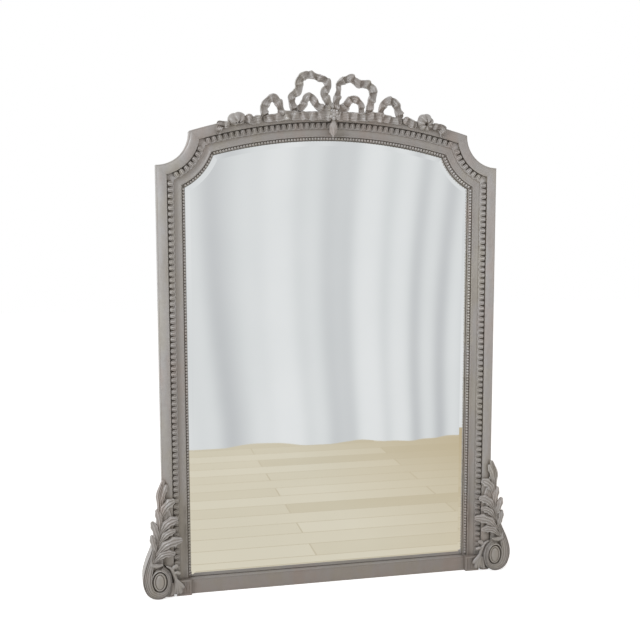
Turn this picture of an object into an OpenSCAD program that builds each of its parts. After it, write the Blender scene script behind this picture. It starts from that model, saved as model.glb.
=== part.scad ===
// Overmantel mirror with an arched, shouldered frame, a ribbon-bow crest and scrolled foot brackets.
// x runs to the right, z up, and the frame faces -y. The wall is the plane y = 0, and the shelf z = 0.
// In a moulding section, w is the distance outward from the sight edge, and h the height off the wall.

/* [Frame] */
// Width over the two stiles
frame_w = 1080; // [900:1:1300]
// Height of the outer corner where each stile meets its shoulder
shoulder_z = 1330; // [1200:1:1500]
// Radius of the hollow shoulder, at the outer edge
shoulder_r = 101; // [90:1:115]
// Rise of the arched top above its springing, at the outer edge
arch_rise = 66.5; // [50:0.5:90]
// Width of the moulding, sight edge to outer edge
moulding_w = 86; // [82:1:92]

/* [Moulding section] */
// Height of the sight lip that carries the pearls
lip_h = 27.5; // [26:0.5:29]
// Width of the ledge for the pearls
pearl_ledge_w = 9.5; // [9.4:0.1:11]
// Height of the fillets either side of the hollow
hollow_h = 40; // [38.5:0.5:41]
// Depth of the hollow's curve
hollow_sag = 2.5; // [1:0.5:4]
// Distance of the leaf-and-dart channel from the sight edge
channel_w0 = 34; // [33:0.5:36]
// Width of the leaf-and-dart channel
channel_w = 20; // [19.5:0.5:21]
// Height of the channel's floor
channel_h = 38; // [36:0.5:38.5]
// Height of the broad outer member at its two edges
band_h = 52; // [50:0.5:53]
// Height of the crown of the broad outer member
crown_h = 56; // [55:0.5:56]
// Width of the fillet outside the broad member
edge_w = 4; // [3:0.5:5]

/* [Pearls] */
// Radius of a pearl
pearl_r = 4.3; // [3.6:0.1:4.5]
// Spacing of the pearls
pearl_pitch = 9.3; // [9.3:0.1:14]

/* [Leaf and dart] */
// Spacing of the leaves
leaf_pitch = 18; // [15:0.5:24]
// Radius of a leaf's round tip
leaf_r = 5.2; // [4:0.1:5.4]

/* [Bottom rail and blocks] */
// Height of the bottom rail
rail_h = 46; // [42:1:60]
// Thickness of the bottom rail
rail_t = 44; // [42:0.5:50]
// Width of a plinth block
block_w = 46; // [42:1:48]
// Height of a plinth block
block_h = 49; // [48:1:58]
// Radius of a reed on the block
reed_r = 2; // [1.5:0.1:2.2]

/* [Mirror plate and back] */
// Thickness of the glass
glass_t = 5; // [4:0.5:5]
// Width of the ground bevel
bevel_w = 28; // [20:1:35]
// How much thinner the bevel makes the plate's edge
bevel_drop = 2.5; // [1.5:0.1:3]
// Width of the rebate that holds the glass
glass_rebate_w = 11; // [10:0.5:14]
// Depth off the wall of the glass rebate's seat
glass_seat_h = 21; // [21:0.5:22]
// Width of the rebate that holds the boards
board_rebate_w = 26; // [24:0.5:28]
// Depth off the wall of the boards' seat
board_seat_h = 16; // [15:0.5:16]
// Thickness of the boards
board_t = 9; // [8:0.5:9]
// Width of the middle board
middle_board_w = 320; // [260:1:360]
// Height of a batten
batten_h = 60; // [40:1:80]
// Height of the lower batten's middle above the shelf
lower_batten_z = 430; // [350:1:550]
// Height of the upper batten's middle above the shelf
upper_batten_z = 960; // [850:1:1050]
// Length of a backboard screw
screw_l = 15; // [12:0.5:15]
// Radius of a screw's shank
screw_r = 1.8; // [1.5:0.1:2]

/* [Hangers] */
// Height of a hanger's hinge above the shelf
hanger_z = 1120; // [1000:1:1180]
// Depth of the pocket that a hanger is let into
pocket_d = 12; // [12:0.5:14]
// Radius of the ring's wire
wire_r = 2.2; // [2:0.1:2.3]
// Half the width of the ring, to the middle of its wire
ring_r = 13; // [12:0.5:15]
// Length of the ring's straight legs
ring_leg = 10; // [9:0.5:12]
// Length of the strap below its hinge
strap_l = 62; // [60:1:70]
// Width of the strap
strap_w = 22; // [20:1:26]
// Thickness of the strap
strap_t = 2; // [1.5:0.1:2.5]

/* [Ribbon crest] */
// Width of the bow's ribbon
ribbon_w = 26; // [22:0.5:27]
// Thickness of the ribbon
ribbon_t = 11; // [9:0.5:12]
// Radius of the knot's middle boss
knot_r = 9.5; // [8:0.5:10.5]
// Radius of the round puff near each end
puff_r = 27; // [25:0.5:28]
// Length of the bell-flower drop
drop_l = 60; // [52:1:62]
// Radius of the bell-flower drop
drop_r = 11; // [9.5:0.5:11.5]

/* [Foot brackets] */
// Radius of a volute, to its outside
volute_r = 52; // [50:0.5:52]
// Distance of a volute's middle outside the stile's outer edge
volute_x = 13; // [12:0.5:14]
// Height off the wall of the volute's face
volute_h = 74; // [70:0.5:78]
// Height off the wall of the bracket's back
bracket_back_h = 8; // [4:0.5:14]
// Half the width of the cabochon
cabochon_r = 20; // [18:0.5:21]

/* [Hidden] */
gap = 0.3;
pin_gap = 0.07;
seg = 12;
paint = [0.61, 0.59, 0.56];

sight_x = frame_w / 2 - moulding_w;
shoulder_cx = frame_w / 2;
shoulder_cz = shoulder_z + shoulder_r;
shoulder_sight_r = shoulder_r + moulding_w;
spring_x = frame_w / 2 - shoulder_r;
arch_r = (spring_x * spring_x + arch_rise * arch_rise) / (2 * arch_rise);
arch_top = shoulder_cz + arch_rise;
arch_cz = arch_top - arch_r;
arch_sight_r = arch_r - moulding_w;
channel_w1 = channel_w0 + channel_w;
seat_h = crown_h + gap;
glass_under = glass_rebate_w - gap;
glass_h = glass_seat_h + bevel_drop * (1 - glass_under / bevel_w) - gap;
board_back_h = board_seat_h - board_t;
carcass_h = 28;
volute_cx = frame_w / 2 + volute_x;
cabochon_seat_h = volute_h - 14;
hanger_x = sight_x + (board_rebate_w + moulding_w) / 2;
hinge_h = pocket_d - strap_t - wire_r - 1.6;
pearl_w = 0.4 + pearl_r;
ground_h = channel_h + 5;
leaf_rise = 14;
leaf_tip = 12;

// Frame geometry: the mitre lines, as points at the distance w from the sight edge
function low_mitre(w) = [sight_x + w,
  shoulder_cz - sqrt(pow(shoulder_sight_r - w, 2) - pow(moulding_w - w, 2))];
function circles_meet(r1, r2) =
  let (d = norm([shoulder_cx, shoulder_cz - arch_cz]), a = (r2 * r2 - r1 * r1 + d * d) / (2 * d),
       k = sqrt(r2 * r2 - a * a), u = [shoulder_cx, shoulder_cz - arch_cz] / d)
  [a * u[0] - k * u[1], arch_cz + a * u[1] + k * u[0]];
function high_mitre(w) = circles_meet(shoulder_sight_r - w, arch_sight_r + w);
function mitre_steps(flip) = [for (i = [0 : seg]) -2 + (flip ? seg - i : i) * (moulding_w + 4) / seg];
function flip_x(points) = [for (p = points) [-p[0], p[1]]];
function angle_to(p, c) = atan2(p[1] - c[1], p[0] - c[0]);

// Half of the part, drawn on the right: s is 1 there, and -1 for its mirror image on the left
module side(s) {
  if (s > 0) children();
  else mirror([1, 0, 0]) children();
}

// A flat shape drawn in x and z, made solid between two heights off the wall
module solid(h0, h1) {
  rotate([90, 0, 0]) translate([0, 0, h0]) linear_extrude(h1 - h0) children();
}

// The broad member's flat arch from the channel to the outer fillet, in w and h
function broad_member() =
  let (half = (moulding_w - edge_w - channel_w1) / 2, rise = crown_h - band_h,
       r = (half * half + rise * rise) / (2 * rise))
  [for (i = [0 : seg]) let (u = (2 * i / seg - 1) * half)
    [channel_w1 + half + u, crown_h - r + sqrt(r * r - u * u)]];

// The moulding's section, in w and h
module section() {
  cove_half = (channel_w0 - pearl_ledge_w) / 2 - 3;
  cove_r = (cove_half * cove_half + hollow_sag * hollow_sag) / (2 * hollow_sag);
  difference() {
    polygon(concat([
      [board_rebate_w, 0], [board_rebate_w, board_seat_h], [glass_rebate_w, board_seat_h],
      [glass_rebate_w, glass_seat_h], [0, glass_seat_h], [0, lip_h], [pearl_ledge_w, lip_h],
      [pearl_ledge_w, hollow_h], [channel_w0, hollow_h], [channel_w0, channel_h],
      [channel_w1, channel_h]
    ], broad_member(), [
      [moulding_w - edge_w, band_h - 1.5], [moulding_w - 1.5, band_h - 2], [moulding_w, band_h - 4.5],
      [moulding_w, 0]
    ]));
    translate([(pearl_ledge_w + channel_w0) / 2, hollow_h + cove_r - hollow_sag])
      circle(r = cove_r, $fn = 96);
  }
}

// Regions that the mitres cut out of the front view, for the right stile, right shoulder and arch
module stile_region() {
  polygon(concat([[sight_x - 2, 0]], [for (w = mitre_steps(false)) low_mitre(w)],
    [[frame_w / 2 + 2, 0]]));
}
module shoulder_region() {
  polygon(concat([for (w = mitre_steps(false)) low_mitre(w)],
    [for (w = mitre_steps(true)) high_mitre(w)], [[high_mitre(-2)[0], low_mitre(-2)[1]]]));
}
module arch_region() {
  right = [for (w = mitre_steps(false)) high_mitre(w)];
  left = [for (w = mitre_steps(true)) high_mitre(w)];
  polygon(concat(right, [[spring_x, arch_top + 9], [-spring_x, arch_top + 9]], flip_x(left)));
}

// Runs of a section along the stile, the shoulder and the arch
module along_stile(z0, z1) {
  translate([sight_x, 0, z0]) linear_extrude(z1 - z0) mirror([0, 1]) children();
}
module along_shoulder() {
  translate([shoulder_cx, 0, shoulder_cz]) rotate([90, 0, 0]) rotate([0, 0, 178])
    rotate_extrude(angle = 94, $fn = 96) translate([shoulder_sight_r, 0]) mirror([1, 0]) children();
}
module along_arch() {
  half = atan(spring_x / (arch_r - arch_rise)) + 1;
  translate([0, 0, arch_cz]) rotate([90, 0, 0]) rotate([0, 0, 90 - half])
    rotate_extrude(angle = 2 * half, $fn = 360) translate([arch_sight_r, 0]) children();
}

// Carcass members
module volute_pocket() {
  translate([volute_cx, 0, volute_r]) rotate([90, 0, 0])
    translate([0, 0, carcass_h]) cylinder(r = volute_r + gap, h = crown_h, $fn = 96);
}
module stile(s) color(paint) side(s) {
  difference() {
    intersection() {
      along_stile(0, shoulder_z + 1) section();
      solid(0, crown_h + 1) stile_region();
    }
    solid(carcass_h, crown_h + 1) translate([sight_x - 1, -1]) square([block_w + 1, block_h + 1]);
    volute_pocket();
    translate([hanger_x - strap_w / 2 - 7, -pocket_d, hanger_z - strap_l - 4])
      cube([strap_w + 14, pocket_d + 1, strap_l + ring_r + ring_leg + 14]);
    for (z = stile_screw_z) screw_hole(sight_x + screw_w, z, board_seat_h, screw_l);
    for (dz = strap_screws) screw_hole(hanger_x, hanger_z - dz, pocket_d, screw_l);
  }
}
module shoulder(s) color(paint) side(s) intersection() {
  along_shoulder() section();
  solid(0, crown_h + 1) shoulder_region();
}
module arched_top_rail() color(paint) difference() {
  intersection() {
    along_arch() section();
    solid(0, crown_h + 1) arch_region();
  }
  for (x = top_screw_x) screw_hole(x, arch_screw_z(x), board_seat_h, screw_l);
}
module bottom_rail() color(paint) difference() {
  union() {
    translate([-sight_x, 0, 0]) rotate([90, 0, 90]) linear_extrude(2 * sight_x) mirror([1, 0])
      polygon([
        [0, 0], [rail_t, 0], [rail_t, rail_h - 5], [rail_t - 2, rail_h - 4], [rail_t - 2, rail_h],
        [glass_seat_h, rail_h], [glass_seat_h, rail_h - glass_rebate_w],
        [board_seat_h, rail_h - glass_rebate_w], [board_seat_h, rail_h - board_rebate_w],
        [0, rail_h - board_rebate_w]
      ]);
    for (s = [-1, 1]) side(s) {
      translate([sight_x - 1, -board_seat_h, 0])
        cube([board_rebate_w + 1, board_seat_h, rail_h - board_rebate_w]);
      translate([sight_x - 1, -glass_seat_h, 0])
        cube([glass_rebate_w + 1, glass_seat_h - board_seat_h, rail_h - glass_rebate_w]);
    }
  }
  for (x = bottom_screw_x) screw_hole(x, rail_h - screw_w, board_seat_h, screw_l);
}
module plinth_block(s) color(paint) side(s) difference() {
  union() {
    solid(carcass_h, crown_h - 2) translate([sight_x, 0]) square([block_w, block_h]);
    solid(carcass_h, crown_h) translate([sight_x, block_h - 5]) square([block_w, 5]);
    solid(carcass_h, crown_h) translate([sight_x, 0]) square([block_w, 6]);
    for (i = [0 : 3]) translate([sight_x + 2 + reed_r + i * 2 * (reed_r + 0.6), 2 - crown_h, 3])
      cylinder(r = reed_r, h = block_h - 6, $fn = 32);
  }
  volute_pocket();
}

// Pressed ornament: pearls at the sight edge, and leaves and darts in the channel
module pearl_ledge() {
  translate([0.4, lip_h]) square([pearl_ledge_w - 0.4 - gap, 2]);
}
module channel_ground() {
  polygon([[channel_w0 + gap, channel_h], [channel_w1 - gap, channel_h],
    [channel_w1 - gap, ground_h], [channel_w0 + gap, ground_h]]);
}
module pearl() translate([0, -lip_h - pearl_r, 0]) sphere(r = pearl_r, $fn = 48);

// One leaf with a dart beside it, drawn with its tip upward and its root at w = 0 of the channel
module leaf_unit() {
  translate([0, -ground_h, 1]) rotate([leaf_rise, 0, 0]) {
    rotate([0, 0, -90]) cylinder(r1 = 0.3 * leaf_r, r2 = 0.78 * leaf_r, h = leaf_tip, $fn = 32);
    translate([0, 0, leaf_tip]) rotate([0, 0, -90]) sphere(r = leaf_r, $fn = 32);
    translate([leaf_pitch / 2, 0, 1]) rotate([0, 0, -90])
      cylinder(r1 = 0.7, r2 = 2.1, h = leaf_tip + 2, $fn = 32);
  }
}
pearl_foot = block_h + gap;
stile_pearl_l = low_mitre(pearl_w)[1] - pearl_foot;
channel_mid = (channel_w0 + channel_w1) / 2;
stile_leaf_l = low_mitre(channel_mid)[1] - block_h;
function fitted(l, pitch, keep) = floor((l - 2 * keep) / pitch);
module spread(l, pitch, keep) {
  n = fitted(l, pitch, keep);
  for (i = [0 : n]) let ($at = l / 2 + (i - n / 2) * pitch) children();
}

module stile_pearls(s) color(paint) side(s) {
  intersection() {
    along_stile(pearl_foot, shoulder_z) pearl_ledge();
    solid(0, crown_h) stile_region();
  }
  spread(stile_pearl_l, pearl_pitch, pearl_r + 1.2)
    translate([sight_x + pearl_w, 0, pearl_foot + $at]) pearl();
}
shoulder_span = angle_to(low_mitre(pearl_w), [shoulder_cx, shoulder_cz])
  - angle_to(high_mitre(pearl_w), [shoulder_cx, shoulder_cz]);
module round_shoulder(a) {
  translate([shoulder_cx, 0, shoulder_cz]) rotate([0, -a, 0]) children();
}
module shoulder_pearls(s) color(paint) side(s) {
  r = shoulder_sight_r - pearl_w;
  intersection() {
    along_shoulder() pearl_ledge();
    solid(0, crown_h) shoulder_region();
  }
  spread(r * shoulder_span * PI / 180, pearl_pitch, pearl_r + 1.2)
    round_shoulder(angle_to(high_mitre(pearl_w), [shoulder_cx, shoulder_cz]) + $at / r * 180 / PI)
      translate([r, 0, 0]) pearl();
}
module arch_pearls() color(paint) {
  r = arch_sight_r + pearl_w;
  start = angle_to(high_mitre(pearl_w), [0, arch_cz]);
  intersection() {
    along_arch() pearl_ledge();
    solid(0, crown_h) arch_region();
  }
  spread(r * (180 - 2 * start) * PI / 180, pearl_pitch, pearl_r + 1.2)
    translate([0, 0, arch_cz]) rotate([0, -start - $at / r * 180 / PI, 0])
      translate([r, 0, 0]) pearl();
}

module stile_leaves(s) color(paint) side(s) difference() {
  union() {
    intersection() {
      along_stile(block_h, shoulder_z) channel_ground();
      solid(0, crown_h) stile_region();
    }
    spread(stile_leaf_l, leaf_pitch, leaf_pitch * 0.8)
      translate([sight_x + channel_w0, 0, block_h + $at]) rotate([0, 90, 0]) leaf_unit();
  }
  volute_pocket();
  solid(0, crown_h) translate([sight_x, 0]) square([moulding_w, block_h]);
}
module shoulder_leaves(s) color(paint) side(s) {
  r = shoulder_sight_r - channel_mid;
  a0 = angle_to(high_mitre(channel_mid), [shoulder_cx, shoulder_cz]);
  a1 = angle_to(low_mitre(channel_mid), [shoulder_cx, shoulder_cz]);
  intersection() {
    along_shoulder() channel_ground();
    solid(0, crown_h) shoulder_region();
  }
  spread(r * (a1 - a0) * PI / 180, leaf_pitch, leaf_pitch * 0.8)
    round_shoulder(a0 + $at / r * 180 / PI + 90)
      translate([0, 0, channel_w0 - shoulder_sight_r]) leaf_unit();
}
module arch_leaves() color(paint) {
  r = arch_sight_r + channel_mid;
  start = angle_to(high_mitre(channel_mid), [0, arch_cz]);
  intersection() {
    along_arch() channel_ground();
    solid(0, crown_h) arch_region();
  }
  spread(r * (180 - 2 * start) * PI / 180, leaf_pitch, leaf_pitch * 0.8)
    translate([0, 0, arch_cz]) rotate([0, 90 - start - $at / r * 180 / PI, 0])
      translate([0, 0, arch_sight_r + channel_w0]) leaf_unit();
}

// Ribbon: a flat band with rounded edges, drawn as a chain of short lengths.
// A point is [x, z, height off the wall, twist in degrees, width as a share of the ribbon's].
function blend4(a, b, c, d, t) = 0.5 * (2 * b + (c - a) * t + (2 * a - 5 * b + 4 * c - d) * t * t
  + (3 * b - a - 3 * c + d) * t * t * t);
function smooth(p, n) = [
  for (i = [0 : len(p) - 2]) for (k = [0 : n - 1])
    blend4(p[max(i - 1, 0)], p[i], p[i + 1], p[min(i + 2, len(p) - 1)], k / n),
  p[len(p) - 1]
];
module ribbon_slice(p, heading, w, t) {
  translate([p[0], -p[2], p[1]]) rotate([0, -heading, 0]) rotate([p[3], 0, 0])
    rotate([0, 90, 0]) linear_extrude(0.1, center = true)
      polygon([for (e = [[0.5, 0.2], [0.4, 0.5], [-0.4, 0.5], [-0.5, 0.2], [-0.5, -0.2], [-0.4, -0.5],
        [0.4, -0.5], [0.5, -0.2]]) [e[0] * w * p[4], e[1] * t]]);
}
function heading(p, i) = let (a = p[max(i - 1, 0)], b = p[min(i + 1, len(p) - 1)])
  atan2(b[1] - a[1], b[0] - a[0]);
module ribbon(points, n, grow = 0) {
  p = smooth(points, n);
  for (i = [0 : len(p) - 2]) hull() {
    ribbon_slice(p[i], heading(p, i), ribbon_w + 2 * grow, ribbon_t + 2 * grow);
    ribbon_slice(p[i + 1], heading(p, i + 1), ribbon_w + 2 * grow, ribbon_t + 2 * grow);
  }
}

// Routes of the ribbons, each point at x from the middle and z above the arch's outer edge there.
// The two sides were carved by eye and differ; the left side's are written as if on the right.
front = seat_h + ribbon_t / 2;
drawn_spring_x = 439;
crest_stretch = spring_x / drawn_spring_x;
left_bow_route = [[8, 2.5, 1, 0, 0.92], [22, 32.5, 2, 18, 0.96], [30, 53, 1, 0, 1],
  [18, 72.5, 3, -18, 0.96], [25, 89.5, 1, 0, 0.81], [47, 94, 0, 12, 0.73], [62, 99, 1, 0, 0.81],
  [78, 107.5, 3, -12, 0.96], [96, 102.5, 1, 0, 1], [107, 88.5, 0, 15, 0.96], [108, 73.5, 3, 0, 1.04],
  [113, 59, 1, -15, 1], [129, 47, 1, 0, 0.92], [131, 33.5, 3, 12, 0.88], [125, 14, 1, 0, 0.92]];
right_bow_route = [[6, 2.5, 1, 0, 0.92], [8, 30.5, 2, -15, 0.92], [12, 47.5, 1, 0, 0.81],
  [15, 64.5, 3, 12, 0.58], [15, 79.5, 1, 0, 0.65], [28, 91, 1, -12, 0.73], [45, 95, 0, 0, 0.81],
  [58, 99.5, 1, 12, 0.85], [68, 92, 3, 0, 0.88], [80, 84.5, 1, -14, 1], [95, 85.5, 0, 0, 1.04],
  [110, 82.5, 1, 12, 1], [122, 70.5, 3, 0, 1], [124, 55.5, 1, -14, 1.04], [119, 37.5, 1, 0, 0.96],
  [114, 17, 2, 10, 0.92], [110, 4.5, 0, 0, 0.92]];
left_inner_route = [[114, 7, 3, 0, 0.85], [98, 13.5, 1, 12, 0.88], [88, 27, 3, 0, 0.85],
  [75, 42.5, 0, -10, 0.96], [62, 35, 1, 0, 0.92], [55, 20.5, 3, 12, 0.92], [40, 9, 1, 0, 0.92],
  [10, 2.5, 3, 0, 0.85]];
right_inner_route = [[12, 4.5, 3, 0, 0.85], [36, 15, 1, -10, 0.85], [48, 30.5, 2, 0, 0.81],
  [62, 38, 0, 10, 0.85], [78, 33.5, 1, 0, 0.85], [90, 21, 3, -10, 0.73], [91, 5.5, 1, 0, 0.69],
  [90, -9, 1, 0, 0.69]];
band_route = [[6, -15.5, 0, 0, 1], [24, -17.5, 2, 10, 1.04], [44, -15, 0, 0, 1],
  [66, -17, 2, -10, 1.04], [88, -14, 0, 0, 1], [110, -14.5, 2, 8, 1.04], [134, -12.5, 0, 0, 1],
  [158, -14, 2, -8, 0.92], [180, -14.5, 0, 0, 0.85], [202, -13.5, 1, 6, 0.85],
  [217, -13.5, 0, 0, 0.85]];
left_side_route = [[160, -9, 1, 0, 0.81], [165, 11.5, 1, 10, 0.85], [171, 27.5, 3, 0, 1],
  [184, 45, 1, -12, 1], [197, 43.5, 0, 0, 0.88], [209, 32.5, 2, 12, 0.96], [216, 18.5, 3, 0, 1.04],
  [213, 2, 1, -10, 0.92], [204, -10.5, 0, 0, 0.77]];
right_side_route = [[149, -8, 2, 0, 0.77], [150, 10, 1, -8, 0.77], [156, 27.5, 3, 0, 0.88],
  [168, 40, 1, 12, 1.04], [186, 44, 0, 0, 1.04], [199, 34, 2, -12, 0.96], [204, 16.5, 3, 0, 1],
  [210, 3.5, 1, 8, 1], [213, -3, 0, 0, 0.85]];
left_wave_route = [[222, -11, 0, 0, 0.88], [237, -11.5, 2, 14, 0.96], [251, -13, 0, 0, 1.04],
  [264, -5, 2, -12, 0.96], [276, -7.5, 0, 0, 0.88]];
right_wave_route = [[222, -7, 0, 0, 0.85], [237, -8.5, 2, -12, 0.96], [251, -13.5, 0, 0, 0.96],
  [266, -17.5, 2, 0, 0.88]];
left_end_route = [[318, -11, 1, 0, 0.77], [332, -10, 2, 12, 0.77], [344, -10, 0, 0, 0.77],
  [351, -19.5, 1, -10, 0.69], [352, -35, -1, 0, 0.46]];
right_end_route = [[316, -7.5, 1, 0, 0.77], [330, -5.5, 2, -12, 0.85], [343, -7.5, 0, 0, 0.77],
  [350, -17.5, 1, 10, 0.69], [350, -33.5, -1, 0, 0.46]];
left_tail_route = [[326, -9, 2, 0, 0.69], [340, -5, 3, 0, 0.62], [350, -1.5, 1, 0, 0.54],
  [358, -1.5, 0, 0, 0.35]];
right_tail_route = [[326, -4, 2, 0, 0.69], [342, -1.5, 3, 0, 0.69], [353, -2, 1, 0, 0.54],
  [362, -4.5, 0, 0, 0.35]];
function arch_edge(x) = arch_cz + sqrt(arch_r * arch_r - x * x);
function on_crest(route) = [for (p = route) let (x = p[0] * crest_stretch)
  [x, arch_edge(x) + p[1], front + p[2], p[3], p[4] * crest_stretch]];
knot_z = arch_top - 12;
module knot_room() {
  translate([0, -front - 1, knot_z]) sphere(r = 1.8 * knot_r + 2 * gap, $fn = 24);
}
module behind_seat() {
  translate([-frame_w / 2, -seat_h, shoulder_z]) cube([frame_w, seat_h, frame_w / 2]);
}

module ribbon_band(s) color(paint) side(s) difference() {
  ribbon(on_crest(band_route), 2);
  knot_room();
  behind_seat();
}
module bow_loop(s) color(paint) side(s) difference() {
  union() {
    ribbon(on_crest(s < 0 ? left_bow_route : right_bow_route), 2);
    ribbon(on_crest(s < 0 ? left_inner_route : right_inner_route), 2);
  }
  knot_room();
  ribbon(on_crest(band_route), 2, gap);
  translate([gap / 2 - frame_w, -2 * seat_h, shoulder_z]) cube([frame_w, 2 * seat_h, frame_w]);
}
module side_loop(s) color(paint) side(s) difference() {
  ribbon(on_crest(s < 0 ? left_side_route : right_side_route), 2);
  ribbon(on_crest(band_route), 2, gap);
  behind_seat();
}
module ribbon_wave(s) color(paint) side(s) difference() {
  ribbon(on_crest(s < 0 ? left_wave_route : right_wave_route), 2);
  ribbon(on_crest(s < 0 ? left_side_route : right_side_route), 2, gap);
  ribbon(on_crest(band_route), 2, gap);
  puff_room(s);
  behind_seat();
}
module ribbon_end(s) color(paint) side(s) difference() {
  union() {
    ribbon(on_crest(s < 0 ? left_end_route : right_end_route), 2);
    ribbon(on_crest(s < 0 ? left_tail_route : right_tail_route), 1);
  }
  puff_room(s);
  behind_seat();
}

// Puffs of rolled ribbon: a left one of two lobes, and a right one with an open mouth.
// A ball or mouth of one is [x, z above the arch's edge, share of the puff's radius].
left_puff = [[288, -0.5, 0.76], [305.5, -3, 0.68]];
right_puff = [[293, 1, 1]];
left_mouth = [296, -16, 0.2];
right_mouth = [299, -7, 0.3];
puff_sink = 6;
module puff_room(s) {
  for (b = s < 0 ? left_puff : right_puff) let (x = b[0] * crest_stretch)
    solid(seat_h - ribbon_t, seat_h + puff_r) translate([x, arch_edge(x) + b[1]])
      circle(r = b[2] * puff_r + gap, $fn = 48);
}
module ribbon_puff(s) color(paint) side(s) difference() {
  for (b = s < 0 ? left_puff : right_puff) let (x = b[0] * crest_stretch)
    translate([x, puff_sink - seat_h, arch_edge(x) + b[1]]) sphere(r = b[2] * puff_r, $fn = 96);
  let (m = s < 0 ? left_mouth : right_mouth, x = m[0] * crest_stretch)
    translate([x, -seat_h - 0.75 * puff_r, arch_edge(x) + m[1]]) sphere(r = m[2] * puff_r, $fn = 48);
  behind_seat();
}
module knot_rosette() color(paint) difference() {
  translate([0, -front - 1, knot_z]) {
    translate([0, -knot_r / 2, 0]) sphere(r = knot_r * 0.75, $fn = 32);
    for (a = [0 : 60 : 300]) rotate([0, a, 0]) translate([knot_r, 0, 0])
      sphere(r = knot_r * 0.8, $fn = 32);
    rotate([90, 0, 0]) cylinder(r = knot_r, h = 6, center = true, $fn = 32);
  }
  behind_seat();
}
module bellflower_drop() color(paint) difference() {
  translate([0, -crown_h - 1.5, arch_top - 24]) rotate([12, 0, 0]) mirror([0, 0, 1]) {
    sphere(r = 0.6 * drop_r, $fn = 32);
    cylinder(r1 = 0.55 * drop_r, r2 = drop_r, h = 0.62 * drop_l, $fn = 32);
    translate([0, 0, 0.62 * drop_l]) cylinder(r1 = drop_r, r2 = 1, h = 0.38 * drop_l, $fn = 32);
  }
  along_arch() front_room();
  knot_room();
}

// The space that the moulding and its ornament fill, with a gap in front, in w and h
module front_room() {
  polygon([[-1, 0], [-1, lip_h + 2 * pearl_r + gap], [pearl_ledge_w, lip_h + 2 * pearl_r + gap],
    [pearl_ledge_w, hollow_h + gap], [channel_w0 - 1, hollow_h + gap],
    [channel_w0 - 1, hollow_h + 6], [channel_w0 + 10, band_h], [channel_w1 + 2, seat_h],
    [moulding_w + gap, seat_h], [moulding_w + gap, 0]]);
}
module foot_room() {
  along_stile(-1, shoulder_z) front_room();
  translate([sight_x - 1, -seat_h, -1]) cube([block_w + 1 + gap, seat_h, block_h + 1 + gap]);
}

// Scroll bracket: a reeded band that comes down the stile and winds round the cabochon.
// A point is [distance outside the volute's middle, z, width, height off the wall].
scroll_route = [[-7, 322, 7, 56], [-5, 285, 10, 57], [-2, 240, 13, 58], [4, 195, 17, 60],
  [14, 150, 21, 64], [28, 110, 25, 71], [37, 72, 28, 74], [35.5, 44, 28, 74], [24, 20, 25, 74],
  [0, 10.5, 21, 74], [-22, 21, 17, 74], [-32, 48, 12, 73], [-27, 78, 12, 72], [-8, 97, 12, 71]];
reeds = [[-0.5, -5], [-0.38, -1], [-0.27, 0], [-0.12, -3.5], [0, 0], [0.12, -3.5], [0.27, 0],
  [0.38, -1], [0.5, -5]];
function band_ring(p, i) = let (a = heading(p, i), q = p[i])
  concat([for (e = reeds) [q[0] - e[0] * q[2] * sin(a), -q[3] - e[1], q[1] + e[0] * q[2] * cos(a)]],
    [for (e = [0.5, -0.5]) [q[0] - e * q[2] * sin(a), -bracket_back_h, q[1] + e * q[2] * cos(a)]]);
module reeded_band() {
  p = smooth(scroll_route, 2);
  n = len(reeds) + 2;
  m = len(p);
  points = [for (i = [0 : m - 1]) each band_ring(p, i)];
  walls = [for (i = [0 : m - 2]) for (k = [0 : n - 1]) let (a = i * n + k, b = i * n + (k + 1) % n)
    each [[a, b, a + n], [b, b + n, a + n]]];
  ends = [for (k = [1 : n - 2]) each [[0, k + 1, k],
    [(m - 1) * n, (m - 1) * n + k, (m - 1) * n + k + 1]]];
  polyhedron(points, concat(walls, ends));
}
module oval(r, extra) {
  for (dz = [-10, 10]) translate([0, dz]) circle(r = r + extra, $fn = 64);
  square([2 * (r + extra), 20], center = true);
}
// The flat web between the band and the stile
web_outline = [[-volute_x - 2, 60], [-volute_x - 2, 312], [-5, 285], [-1, 240], [5, 195], [15, 150],
  [28, 110], [20, 60]];
module web_room() {
  solid(-1, seat_h) translate([frame_w / 2 - 1, 0]) square([volute_x + 2 * volute_r, shoulder_z]);
}
module scroll(s) color(paint) side(s) difference() {
  union() {
    translate([volute_cx, 0, 0]) reeded_band();
    solid(bracket_back_h, crown_h) translate([volute_cx, 0]) polygon(web_outline);
    solid(bracket_back_h, cabochon_seat_h) translate([volute_cx - 1, volute_r + 2]) oval(cabochon_r, 9);
  }
  solid(-1, carcass_h) translate([sight_x, -1]) square([moulding_w + gap, shoulder_z]);
  difference() {
    foot_room();
    volute_pocket();
  }
}
module cabochon(s) color(paint) side(s) translate([volute_cx - 1, 0, volute_r + 2]) {
  rim_h = volute_h - 8;
  solid(cabochon_seat_h + gap, rim_h) oval(cabochon_r, 0);
  for (k = [-1, 1]) {
    translate([k * (cabochon_r - 3), -rim_h, -10]) cylinder(r = 3, h = 20, $fn = 32);
    translate([0, -rim_h, k * 10]) rotate([90, 0, 0]) rotate([0, 0, k > 0 ? 0 : 180])
      rotate_extrude(angle = 180, $fn = 64) translate([cabochon_r - 3, 0]) circle(r = 3, $fn = 32);
  }
  intersection() {
    translate([0, -rim_h - 1, -8]) {
      cylinder(r = 8, h = 16, $fn = 48);
      sphere(r = 8, $fn = 48);
      translate([0, 0, 16]) sphere(r = 8, $fn = 48);
    }
    solid(cabochon_seat_h + gap, volute_h) square(80, center = true);
  }
}

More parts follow.
